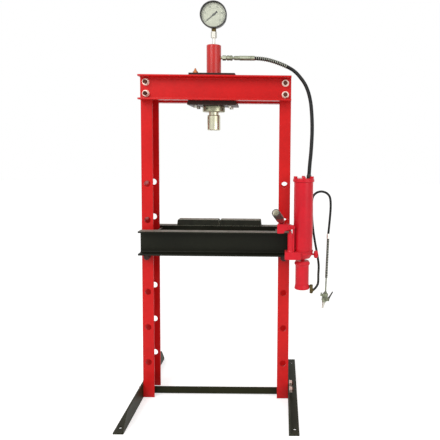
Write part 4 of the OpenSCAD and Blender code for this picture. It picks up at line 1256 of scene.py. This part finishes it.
@dataclass(frozen=True)
class Route:
    """The centre line of a hose, one smooth curve through its points.

    Attributes:
        points: The points, in metres.
        diameter: The hose's diameter, in metres.
    """

    points: tuple[Point, ...]
    diameter: float

    # Steps along each stretch of the curve, and how finely the round section is cut.
    STEPS, ROUNDNESS = 10, 5

    def handle(self, k: int) -> Vector:
        """Step from a point of the curve to its leading handle.

        Args:
            k: Which point.

        Returns:
            A sixth of the way from the point before to the point after.
        """
        before = Vector(self.points[max(k - 1, 0)])
        after = Vector(self.points[min(k + 1, len(self.points) - 1)])
        return (after - before) / 6

    def spline(self, name: str, last: int | None = None) -> Piece:
        """Makes a curve object of one open spline along all or part of the route.

        Args:
            name: The object's name.
            last: Last point that it passes through, or None for the route's end.

        Returns:
            The curve, without a thickness.
        """
        last = len(self.points) - 1 if last is None else last
        data = bpy.data.curves.new(name, "CURVE")
        data.dimensions = "3D"
        spline = data.splines.new("BEZIER")
        spline.bezier_points.add(last)
        for k, knot in enumerate(spline.bezier_points):
            point, step = Vector(self.points[k]), self.handle(k)
            knot.handle_left_type = knot.handle_right_type = "FREE"
            knot.co, knot.handle_left, knot.handle_right = point, point - step, point + step
        spline.resolution_u = data.resolution_u = self.STEPS
        return linked(name, data)

    def length(self, steps: int = 24) -> float:
        """Measures the centre line.

        Args:
            steps: Pieces that each stretch is cut into.

        Returns:
            The length, in metres.
        """
        total = 0.0
        for k in range(len(self.points) - 1):
            a, d = Vector(self.points[k]), Vector(self.points[k + 1])
            b, c = a + self.handle(k), d - self.handle(k + 1)
            spots = [
                a * (1 - t) ** 3 + b * 3 * t * (1 - t) ** 2 + c * 3 * t * t * (1 - t) + d * t ** 3
                for t in (i / steps for i in range(steps + 1))
            ]
            total += sum((q - p).length for p, q in zip(spots, spots[1:]))
        return total

    def hose(self, name: str, finish: Finish) -> Piece:
        """Makes the hose itself.

        Args:
            name: The object's name.
            finish: Its finish.

        Returns:
            The hose, a curve with a round section.
        """
        piece = self.spline(name)
        piece.data.bevel_depth = self.diameter / 2
        piece.data.bevel_resolution = self.ROUNDNESS
        piece.data.use_fill_caps = True
        piece.data.materials.append(PAINTBOX.get(finish))
        return piece


# ---------------------------------------------------------------- sub-assemblies


@dataclass
class PressFrame:
    """Columns, head beams, feet, brace and their bolts.

    Attributes:
        bead: The weld bead.
        brace_line: The brace's angle section, front to rear and upward, in millimetres.
        tab: Thickness of the brace's end tabs, in millimetres.
        bolt_radius: Radius of a frame bolt, in metres.
        thread_pitch: Pitch of its thread, in metres.
        crest: Radius of the thread's crest, in metres.
        head_thread: Length of thread that shows at the head, in metres.
        foot_thread: Length of thread that shows at the feet, in metres.
        nut_stack: From a head beam's back to its nut's top, in millimetres.
        foot_stack: From a column's web to a foot nut's top, in millimetres.
        head_bolt: Sideways place, height and half spacing of the head's bolts, in millimetres.
        foot_bolt: Place front to rear and height of a foot's bolts, in millimetres.
    """

    bead: Bead = Bead(0.0022, 0.0015)
    brace_line: tuple[tuple[float, float], ...] = (
        (-26, 6), (-26, 35), (-22, 35), (-22, 9), (4, 9), (4, 6),
    )
    tab: float = 5.0
    bolt_radius: float = 0.008
    thread_pitch: float = 0.002
    crest: float = 0.0006
    head_thread: float = 0.009
    foot_thread: float = 0.005
    nut_stack: float = 19.0
    foot_stack: float = 18.0
    head_bolt: Point = (286.0, 1316.0, 23.5)
    foot_bolt: tuple[float, float] = (30.0, 28.0)

    def brace_welds(self) -> None:
        """Makes the weld beads that join the brace's angle bar to its end tabs."""
        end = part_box("base_brace")[1].x / MM - self.tab
        lines = [[(side * end, y, z) for y, z in self.brace_line] for side in SIDES]
        beads = self.bead.weld("brace_welds", lines, Finish.FOOT_OLIVE)
        fit_piece(beads, "frame")

    def thread(self, name: str, spots: Sequence[tuple[Point, Point]], length: float) -> None:
        """Makes the threads on a set of bolt ends.

        Args:
            name: Name of the piece.
            spots: Where each thread starts, in millimetres, and which way it runs.
            length: How far it runs, in metres.
        """
        piece = ThreadTree().run(
            aimed_carrier(name + "_points", spots), name, Finish.BOLT_BROWN,
            radius=self.bolt_radius, pitch=self.thread_pitch, length=length, crest=self.crest,
        )
        fit_piece(piece, "frame")

    def threads(self) -> None:
        """Makes the threads on the bolt ends that stand out of the nuts."""
        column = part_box("right_column")[1] / MM
        across, middle, rise = self.head_bolt
        along, height = self.foot_bolt
        face, side = column.y + self.nut_stack, column.x + self.foot_stack
        head = [
            ((x * across, y * face, middle + z * rise), (0, y, 0))
            for x in SIDES for y in SIDES for z in SIDES
        ]
        feet = [((x * side, y * along, height), (x, 0, 0)) for x in SIDES for y in SIDES]
        self.thread("head_bolt_threads", head, self.head_thread)
        self.thread("foot_bolt_threads", feet, self.foot_thread)

    def build(self) -> None:
        """Dresses the frame and adds its welds and threads."""
        dress({
            Finish.FRAME_RED: ("left_column", "right_column", "head_front_beam", "head_rear_beam"),
            Finish.FOOT_OLIVE: ("left_foot", "right_foot", "base_brace"),
            Finish.BOLT_BROWN: ("frame_bolts",),
            Finish.NUT_ZINC: ("frame_nuts",),
        })
        self.brace_welds()
        self.threads()


@dataclass
class Bed:
    """Bed beams, their tie plates, the arbor plates and the bed pins.

    Attributes:
        bead: The weld bead.
        tie: Thickness of a tie plate, in millimetres.
        gap: From a bead's end to the tie plate's edge, in millimetres.
    """

    bead: Bead = Bead(0.0028, 0.0019)
    tie: float = 8.0
    gap: float = 2.0

    def welds(self) -> None:
        """Makes the weld beads along the tie plates' upright edges."""
        low, high = (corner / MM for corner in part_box("bed_tie_plates"))
        lines = [
            [(side * x, y, low.z + self.gap), (side * x, y, high.z - self.gap)]
            for side in SIDES for x in (high.x, high.x - self.tie) for y in (low.y, high.y)
        ]
        beads = self.bead.weld("bed_welds", lines, Finish.BED_BLACK)
        fit_piece(beads, "bed")

    def build(self) -> None:
        """Dresses the bed and adds its welds."""
        dress({
            Finish.BED_BLACK: ("bed_front_beam", "bed_rear_beam", "bed_tie_plates"),
            Finish.CAST_BLACK: ("arbor_plate_left", "arbor_plate_right"),
            Finish.PIN_BROWN: ("bed_pin_left", "bed_pin_right"),
        })
        self.welds()


class PressCylinder:
    """Clamp plates, barrel, lock ring, ram and what is inside them."""

    def build(self) -> None:
        """Dresses the cylinder's parts."""
        dress({
            Finish.PLATE_DARK: ("upper_clamp_plate", "lower_clamp_plate"),
            Finish.ZINC: ("clamp_bolts",),
            Finish.BRASS: ("clamp_cap_nut",),
            Finish.BARREL_RED: ("ram_cylinder", "cylinder_cap"),
            Finish.RING_STEEL: ("lock_ring",),
            Finish.BRIGHT_STEEL: ("ram_rod", "ram_nose"),
            Finish.SPRING_STEEL: ("return_spring",),
            Finish.SEAL_RUBBER: ("piston_seal", "rod_wiper"),
        })


@dataclass(frozen=True)
class MarkRing:
    """One ring of marks on the dial.

    Attributes:
        name: The piece's name.
        count: How many marks.
        radius: Radius of their middles, in metres.
        length: Their length, in metres.
        width: Their width, in metres.
    """

    name: str
    count: int
    radius: float
    length: float
    width: float


@dataclass
class Gauge:
    """The pressure gauge, its stem and adaptor, and the marks on its dial.

    Attributes:
        zero: Angle of the zero mark, from the right, in degrees.
        sweep: Degrees from zero to the highest mark.
        top: The highest number.
        step: From one number to the next.
        rings: The rings of marks, from the finest; the last two are printed lines.
        number_radius: Radius of the numbers' middles, in metres.
        number_size: Height of the numbers' type, in metres.
        number_depth: Half thickness of the numbers, in metres.
        number_steps: Steps along each curve of a number.
        bezel_steps: Steps round the bezel.
        bezel_soft: Size of the bezel's softened front edges, in metres.
        bezel_wall: Width of the bezel's front face, in metres.
        bezel_lap: How far the bezel's skirt is thinner than its outside, in metres.
        bezel_seat: From the bezel's front to the window, in metres.
        lug: Size of the clamp screw's lug, in metres.
        lug_turn: How far round the bezel the lug stands, in degrees.
        lug_out: How far the lug's middle stands out of the bezel, in metres.
        lug_back: Where it stands in the bezel's depth, as a share.
        lug_soft: Size of its softened edges, in metres.
        lug_steps: Steps across a softened edge.
        crease: Angle from which an edge of the bezel is sharp, in degrees.
    """

    zero: float = 220.0
    sweep: float = 260.0
    top: int = 25
    step: int = 5
    rings: tuple[MarkRing, ...] = (
        MarkRing("dial_fine_marks", 51, 0.0463, 0.0024, 0.0005),
        MarkRing("dial_unit_marks", 26, 0.0455, 0.004, 0.0007),
        MarkRing("dial_main_marks", 6, 0.0445, 0.006, 0.0011),
        MarkRing("dial_track", 131, 0.0431, 0.0003, 0.0016),
        MarkRing("dial_inner_track", 131, 0.027, 0.0004, 0.0011),
    )
    number_radius: float = 0.0345
    number_size: float = 0.0115
    number_depth: float = 0.00007
    number_steps: int = 4
    bezel_steps: int = 96
    bezel_soft: float = 0.0014
    bezel_wall: float = 0.005
    bezel_lap: float = 0.0029
    bezel_seat: float = 0.0055
    lug: Point = (0.0042, 0.007, 0.006)
    lug_turn: float = 32.0
    lug_out: float = 0.0008
    lug_back: float = 0.58
    lug_soft: float = 0.0009
    lug_steps: int = 3
    crease: float = 50.0

    def centre(self) -> Vector:
        """Middle of the dial's printed face."""
        low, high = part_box("gauge_dial")
        return Vector(((low.x + high.x) / 2, low.y, (low.z + high.z) / 2))

    def bezel(self) -> None:
        """Makes the bezel as a thin rolled ring with the small lug of its clamp screw."""
        low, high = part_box("gauge_bezel")
        middle = self.centre()
        outer, depth, soft = high.z - middle.z, high.y - low.y, self.bezel_soft
        inner, skirt = outer - self.bezel_wall, outer - self.bezel_lap
        profile = (
            (inner, soft), (inner + soft, 0.0), (outer - soft, 0.0), (outer, soft), (outer, depth),
            (skirt, depth), (skirt, self.bezel_seat), (inner, self.bezel_seat),
        )
        ring = bmesh.new()
        add_loops(ring, [
            [(reach * math.cos(a), low.y + back, reach * math.sin(a)) for reach, back in profile]
            for a in round_angles(self.bezel_steps)
        ], closed=True)
        lug = bmesh.ops.create_cube(ring, size=1.0)["verts"]
        turn = Matrix.Rotation(math.radians(self.lug_turn), 4, "Y")
        spot = Matrix.Translation((outer + self.lug_out, low.y + depth * self.lug_back, 0.0))
        size = Matrix.Diagonal((*self.lug, 1.0))
        bmesh.ops.transform(ring, matrix=turn @ spot @ size, verts=lug)
        edges = list({edge for vert in lug for edge in vert.link_edges})
        bmesh.ops.bevel(
            ring, geom=edges, offset=self.lug_soft, segments=self.lug_steps, affect="EDGES",
        )
        bmesh.ops.recalc_face_normals(ring, faces=ring.faces)
        mesh = mesh_of(ring, "gauge_ring", Finish.GAUGE_BLACK)
        mesh.transform(Matrix.Translation((middle.x, 0.0, middle.z)))
        mesh.shade_smooth()
        mesh.set_sharp_from_angle(angle=math.radians(self.crease))
        fit_piece(linked("gauge_ring", mesh), "frame", ("gauge_bezel",))

    def print_ring(self, ring: MarkRing) -> None:
        """Makes one ring of marks.

        Args:
            ring: Its name and sizes.
        """
        carrier = aimed_carrier(ring.name + "_start", [((0, 0, 0), (0, 0, 1))])
        piece = DialMarkTree().run(
            carrier, ring.name, Finish.INK_GREY, radius=ring.radius, count=ring.count,
            start=math.radians(self.zero), sweep=math.radians(self.sweep), length=ring.length,
            width=ring.width,
        )
        piece.data.transform(Matrix.Translation(self.centre()))
        fit_piece(piece, "frame")

    def number(self, value: int) -> bpy.types.Mesh:
        """Makes one of the dial's numbers in its place.

        Args:
            value: The number.

        Returns:
            Its mesh.
        """
        text = bpy.data.curves.new("number", "FONT")
        text.body, text.size = str(value), self.number_size
        text.align_x, text.align_y = "CENTER", "CENTER"
        text.extrude, text.resolution_u = self.number_depth, self.number_steps
        mesh = plain_mesh(linked("number", text))
        angle = math.radians(self.zero - self.sweep * value / self.top)
        spot = self.centre() + Vector((math.cos(angle), 0, math.sin(angle))) * self.number_radius
        mesh.transform(Matrix.Translation(spot) @ Matrix.Rotation(math.radians(90), 4, "X"))
        return mesh

    def numbers(self) -> None:
        """Makes the plain numbers round the dial."""
        joined = bmesh.new()
        for value in range(0, self.top + 1, self.step):
            mesh = self.number(value)
            joined.from_mesh(mesh)
            bpy.data.meshes.remove(mesh)
        mesh = mesh_of(joined, "dial_numbers", Finish.INK_GREY)
        fit_piece(linked("dial_numbers", mesh), "frame")

    def build(self) -> None:
        """Dresses the gauge, makes its bezel and prints its dial."""
        dress({
            Finish.ZINC: ("gauge_adaptor",),
            Finish.OLD_BRASS: ("gauge_stem",),
            Finish.GAUGE_BLACK: ("gauge_case",),
            Finish.GAUGE_WINDOW: ("gauge_glass",),
            Finish.DIAL_SHEET: ("gauge_dial",),
            Finish.INK_GREY: ("gauge_pointer",),
        })
        self.bezel()
        for ring in self.rings:
            self.print_ring(ring)
        self.numbers()


@dataclass
class HydraulicLine:
    """Coupler, ferrule, hose with its coil, and the fitting on the tank.

    Attributes:
        route: The hose's centre line.
        coil_last: The point of the route where the coil ends.
        wire: Radius of the coil's wire, in metres.
        clear: From the hose to the wire, in metres.
        pitch: From one turn of the coil to the next, in metres.
    """

    route: Route = Route(
        (
            (0.156, 0.000, 1.450), (0.200, -0.001, 1.446), (0.246, -0.003, 1.434),
            (0.292, -0.008, 1.415), (0.324, -0.014, 1.395), (0.348, -0.024, 1.369),
            (0.368, -0.034, 1.339), (0.382, -0.044, 1.304), (0.391, -0.054, 1.263),
            (0.395, -0.062, 1.222), (0.397, -0.071, 1.180), (0.397, -0.080, 1.138),
            (0.395, -0.091, 1.096), (0.392, -0.101, 1.054), (0.388, -0.108, 1.012),
            (0.385, -0.112, 0.970),
        ),
        0.015,
    )
    coil_last: int = 3
    wire: float = 0.0012
    clear: float = 0.0002
    pitch: float = 0.0082

    def build(self) -> None:
        """Dresses the fittings and makes the hose and its coil."""
        dress({
            Finish.BLACK_OXIDE: ("pump_fitting",),
            Finish.FITTING_STEEL: ("hose_ferrule", "hose_coupler"),
        })
        hose = self.route.hose("hydraulic_line", Finish.HOSE_RUBBER)
        fit_piece(hose, "frame", ("hydraulic_hose",))
        reach = self.route.diameter / 2 + self.wire + self.clear
        coil = CoilTree().run(
            self.route.spline("coil_path", self.coil_last), "hose_coil", Finish.WIRE_STEEL,
            radius=reach, pitch=self.pitch, wire=self.wire,
        )
        fit_piece(coil, "frame", ("hose_guard",))
        self.route.length()


@dataclass
class Pump:
    """Bracket, base, tank, hand pump, release valve and air motor.

    Attributes:
        bore_sides: Sides of the bore's pale face.
        bore_rings: Heights of its rings, as shares of the bore's length.
        bore_gap: From the socket's own bore to the pale face, in metres.
        weld_drop: From the bottom of the bore down to the weld bead, in metres.
        bead: The weld bead at the socket's root.
        root_radius: Radius of the socket's root, in metres.
    """

    bore_sides: int = 48
    bore_rings: tuple[float, ...] = (0.0, 0.25, 0.5, 0.75, 0.985)
    bore_gap: float = 0.0001
    weld_drop: float = 0.022
    bead: Bead = Bead(0.0018, 0.0013)
    root_radius: float = 0.0115

    def socket_frame(self) -> tuple[Matrix, float, float]:
        """Reads the handle bore's place from the record.

        Returns:
            A frame with its Z axis up the bore from its bottom, the bore's radius and its length.
        """
        mount = next(m for m in frame["record"]["mounts"] if m["name"] == "handle_bore")
        axis = Vector(mount["axis"]).normalized()
        radius, length = mount["dims"]["r_mm"] * MM, mount["dims"]["length_mm"] * MM
        bottom = Matrix.Translation(Vector(mount["pos_m"]) - axis * length / 2)
        return bottom @ axis.to_track_quat("Z", "Y").to_matrix().to_4x4(), radius, length

    def bore_lining(self) -> None:
        """Makes the handle socket's bore face: a thin skin, bare metal brightened as painted light."""
        place, radius, length = self.socket_frame()
        reach = radius - self.bore_gap
        skin = bmesh.new()
        rows = add_loops(skin, [
            [
                (reach * math.cos(a), reach * math.sin(a), length * share + self.bore_gap)
                for a in round_angles(self.bore_sides)
            ]
            for share in self.bore_rings
        ], inward=True)
        skin.faces.new(rows[0])
        mesh = mesh_of(skin, "socket_bore_face", Finish.BORE_PALE)
        mesh.transform(place)
        mesh.shade_smooth()
        fit_piece(linked("socket_bore_face", mesh), "lever")

    def socket_weld(self) -> None:
        """Makes the weld bead round the socket's root."""
        place, _, _ = self.socket_frame()
        reach = self.root_radius
        around = (
            Vector((-reach * math.cos(a), -reach * math.sin(a), -self.weld_drop))
            for a in (*round_angles(self.bore_sides), FULL_TURN)
        )
        line = [tuple(place @ spot / MM) for spot in around]
        beads = self.bead.weld("socket_weld", [line], Finish.PUMP_RED)
        fit_piece(beads, "lever")

    def build(self) -> None:
        """Dresses the pump and adds the socket's bore face and weld."""
        dress({
            Finish.FRAME_RED: ("pump_bracket",),
            Finish.PUMP_RED: (
                "pump_base", "pump_tank", "tank_cap", "pump_lever", "release_valve",
                "air_motor_cylinder", "air_motor_cap", "pump_screws", "plunger_gland", "lever_pins",
            ),
            Finish.SOCKET_PAINT: ("handle_socket",),
            Finish.BLACK_OXIDE: ("pump_plunger",),
        })
        self.bore_lining()
        self.socket_weld()


@dataclass
class AirLine:
    """Elbow, air hose, collar, coil and the hanging hand valve.

    Attributes:
        route: The hose's centre line.
        guard: Diameter of the straight guard, in metres.
        reach: Radius of the coil's middle line, in metres.
        coils: Turns of wire on the guard.
        wire: Radius of the wire, in metres.
    """

    route: Route = Route(
        (
            (0.409, -0.130, 0.499), (0.417, -0.130, 0.507), (0.425, -0.127, 0.519),
            (0.428, -0.121, 0.532), (0.429, -0.108, 0.556), (0.431, -0.091, 0.592),
            (0.425, -0.077, 0.636), (0.416, -0.068, 0.684), (0.408, -0.063, 0.735),
            (0.403, -0.060, 0.786), (0.402, -0.060, 0.828), (0.402, -0.060, 0.856),
            (0.407, -0.060, 0.876), (0.421, -0.060, 0.890), (0.440, -0.060, 0.895),
            (0.460, -0.060, 0.890), (0.474, -0.060, 0.876), (0.479, -0.060, 0.856),
            (0.480, -0.060, 0.826), (0.478, -0.060, 0.790), (0.475, -0.060, 0.752),
            (0.472, -0.060, 0.718),
        ),
        0.0095,
    )
    guard: float = 0.01
    reach: float = 0.0051
    coils: int = 24
    wire: float = 0.00115

    def guard_coil(self) -> Piece:
        """Makes the steel wire wound round the straight guard, one turn to each rib.

        Returns:
            The wire.
        """
        low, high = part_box("air_hose_guard")
        middle, lean = (low.x + high.x) / 2, (high.x - low.x - self.guard) / 2
        depth = self.route.points[-1][1]
        top, foot = Vector((middle + lean, depth, high.z)), Vector((middle - lean, depth, low.z))
        path = Route(tuple(tuple(foot.lerp(top, share)) for share in (0.0, 0.5, 1.0)), self.guard)
        coil = CoilTree().run(
            path.spline("guard_path"), "air_hose_coil", Finish.WIRE_STEEL,
            radius=self.reach, pitch=(top - foot).length / self.coils, wire=self.wire,
        )
        fit_piece(coil, "frame")
        return coil

    def build(self) -> None:
        """Dresses the fittings and makes the air hose and its coil."""
        dress({
            Finish.OLD_BRASS: ("air_elbow",),
            Finish.PALE_ZINC: ("air_hose_collar",),
            Finish.ZINC: ("air_nipple",),
            Finish.HOSE_RUBBER: ("air_hose_guard",),
            Finish.VALVE_CAST: ("air_valve_body",),
            Finish.BLACK_OXIDE: ("air_valve_lever",),
        })
        hose = self.route.hose("air_line", Finish.HOSE_RUBBER)
        fit_piece(hose, "frame", ("air_hose",))
        parts = (
            "air_hose_collar", "air_hose_guard", "air_valve_body", "air_valve_lever", "air_nipple",
        )
        self.route.length()
        [frame["nodes"][name] for name in parts] + [self.guard_coil()]


@dataclass(frozen=True)
class Lamp:
    """A soft square lamp.

    Attributes:
        name: Its name.
        place: Where it stands, in metres.
        aim: What it points at, in metres.
        size: Its side, in metres.
        power: Its power, in watts.
    """

    name: str
    place: Point
    aim: Point
    size: float
    power: float

    def light(self) -> None:
        """Makes the lamp."""
        data = bpy.data.lights.new(self.name, "AREA")
        data.shape, data.size, data.energy = "SQUARE", self.size, self.power
        direction = (Vector(self.aim) - Vector(self.place)).normalized()
        turn = direction.to_track_quat("-Z", "Y").to_matrix().to_4x4()
        linked(self.name, data).matrix_world = Matrix.Translation(self.place) @ turn


@dataclass
class Studio:
    """Pale floor, white surround, soft lamps and the camera.

    Attributes:
        camera_place: Where the camera stands, in metres.
        yaw: How far it looks to its right, in degrees.
        pitch: How far it looks down, in degrees.
        roll: How far it is turned round its own axis, in degrees.
        lens: Its focal length, in millimetres.
        film: Width of its film, in millimetres.
        shift: Its sideways and upward shift.
        reach: Its nearest and farthest visible distance, in metres.
        world_light: Strength of the surround's light.
        floor_half: Half of the floor's side, in metres.
        floor_tones: The floor's darker and lighter colour.
        floor_gloss: The floor's roughness.
        floor_glow: Extra light of the floor where it is seen.
        lamps: The lamps.
    """

    camera_place: Point = (0.271, -2.202, 1.089)
    yaw: float = 0.08
    pitch: float = 3.98
    roll: float = 0.55
    lens: float = 42.21
    film: float = 36.0
    shift: tuple[float, float] = (-0.14, -0.09)
    reach: tuple[float, float] = (0.05, 60.0)
    world_light: float = 0.5
    floor_half: float = 12.0
    floor_tones: tuple[Colour, Colour] = ((0.78, 0.78, 0.77), (0.82, 0.82, 0.81))
    floor_gloss: float = 0.8
    floor_glow: float = 0.6
    lamps: tuple[Lamp, ...] = (
        Lamp("key_lamp", (-1.6, -2.6, 2.9), (0.0, 0.0, 0.8), 2.0, 72.0),
        Lamp("fill_lamp", (2.2, -2.4, 1.6), (0.1, 0.0, 0.8), 2.0, 30.0),
    )

    def camera(self) -> None:
        """Makes the camera."""
        data = bpy.data.cameras.new("studio_camera")
        data.sensor_width, data.lens = self.film, self.lens
        data.shift_x, data.shift_y = self.shift
        data.clip_start, data.clip_end = self.reach
        yaw, pitch, roll = (math.radians(a) for a in (self.yaw, self.pitch, self.roll))
        level = Vector((math.sin(yaw), math.cos(yaw), 0)) * math.cos(pitch)
        ahead = level - Vector((0, 0, math.sin(pitch)))
        right = Vector((math.cos(yaw), -math.sin(yaw), 0))
        up = right.cross(ahead)
        across = right * math.cos(roll) + up * math.sin(roll)
        top = up * math.cos(roll) - right * math.sin(roll)
        turn = Matrix((across, top, -ahead)).transposed().to_4x4()
        piece = linked("studio_camera", data)
        piece.matrix_world = Matrix.Translation(self.camera_place) @ turn
        bpy.context.scene.camera = piece

    def surround(self) -> None:
        """Makes the world: white where it is seen, a plain soft light elsewhere."""
        world = bpy.data.worlds.new("studio_world")
        world.use_nodes = True
        bpy.context.scene.world = world
        g = Graph(world.node_tree)
        path = g.add("ShaderNodeLightPath").outputs
        seen = g.most(*(path[f"Is {kind} Ray"] for kind in ("Glossy", "Transmission", "Camera")))
        strength = g.plus(self.world_light, g.times(seen, 1.0 - self.world_light))
        glow = g.add("ShaderNodeBackground", {"Color": WHITE, "Strength": strength})
        g.add("ShaderNodeOutputWorld", {"Surface": glow.outputs[0]})

    def floor(self) -> None:
        """Makes the floor, white where it is seen but for the object's own shadow."""
        mesh = bpy.data.meshes.new("studio_floor")
        half = self.floor_half
        corners = [(-half, -half, 0), (half, -half, 0), (half, half, 0), (-half, half, 0)]
        mesh.from_pydata(corners, [], [(0, 1, 2, 3)])
        b = Bench.open("floor_paint")
        g = b.graph
        uneven = b.effect(Effect.MOTTLE, scale=1.5)
        b.set(Base_Color=g.mix(uneven, *self.floor_tones), Roughness=self.floor_gloss)
        path = g.add("ShaderNodeLightPath").outputs
        seen = g.most(path["Is Camera Ray"], path["Is Glossy Ray"])
        b.set(Emission_Color=WHITE, Emission_Strength=g.times(seen, self.floor_glow))
        mesh.materials.append(b.material)
        linked("studio_floor", mesh)

    def build(self) -> None:
        """Sets up the whole studio."""
        bpy.context.scene.view_settings.view_transform = "Standard"
        self.camera()
        self.surround()
        self.floor()
        for lamp in self.lamps:
            lamp.light()


def main() -> None:
    """Builds every sub-assembly."""
    logging.basicConfig(level=logging.INFO, format="%(name)s: %(message)s")
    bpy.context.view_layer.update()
    Studio().build()
    for assembly in (
        HydraulicLine(), AirLine(), PressFrame(), Bed(), PressCylinder(), Gauge(), Pump(),
    ):
        assembly.build()
        LOG.info("%s built", type(assembly).__name__)


if __name__ == "__main__":
    main()
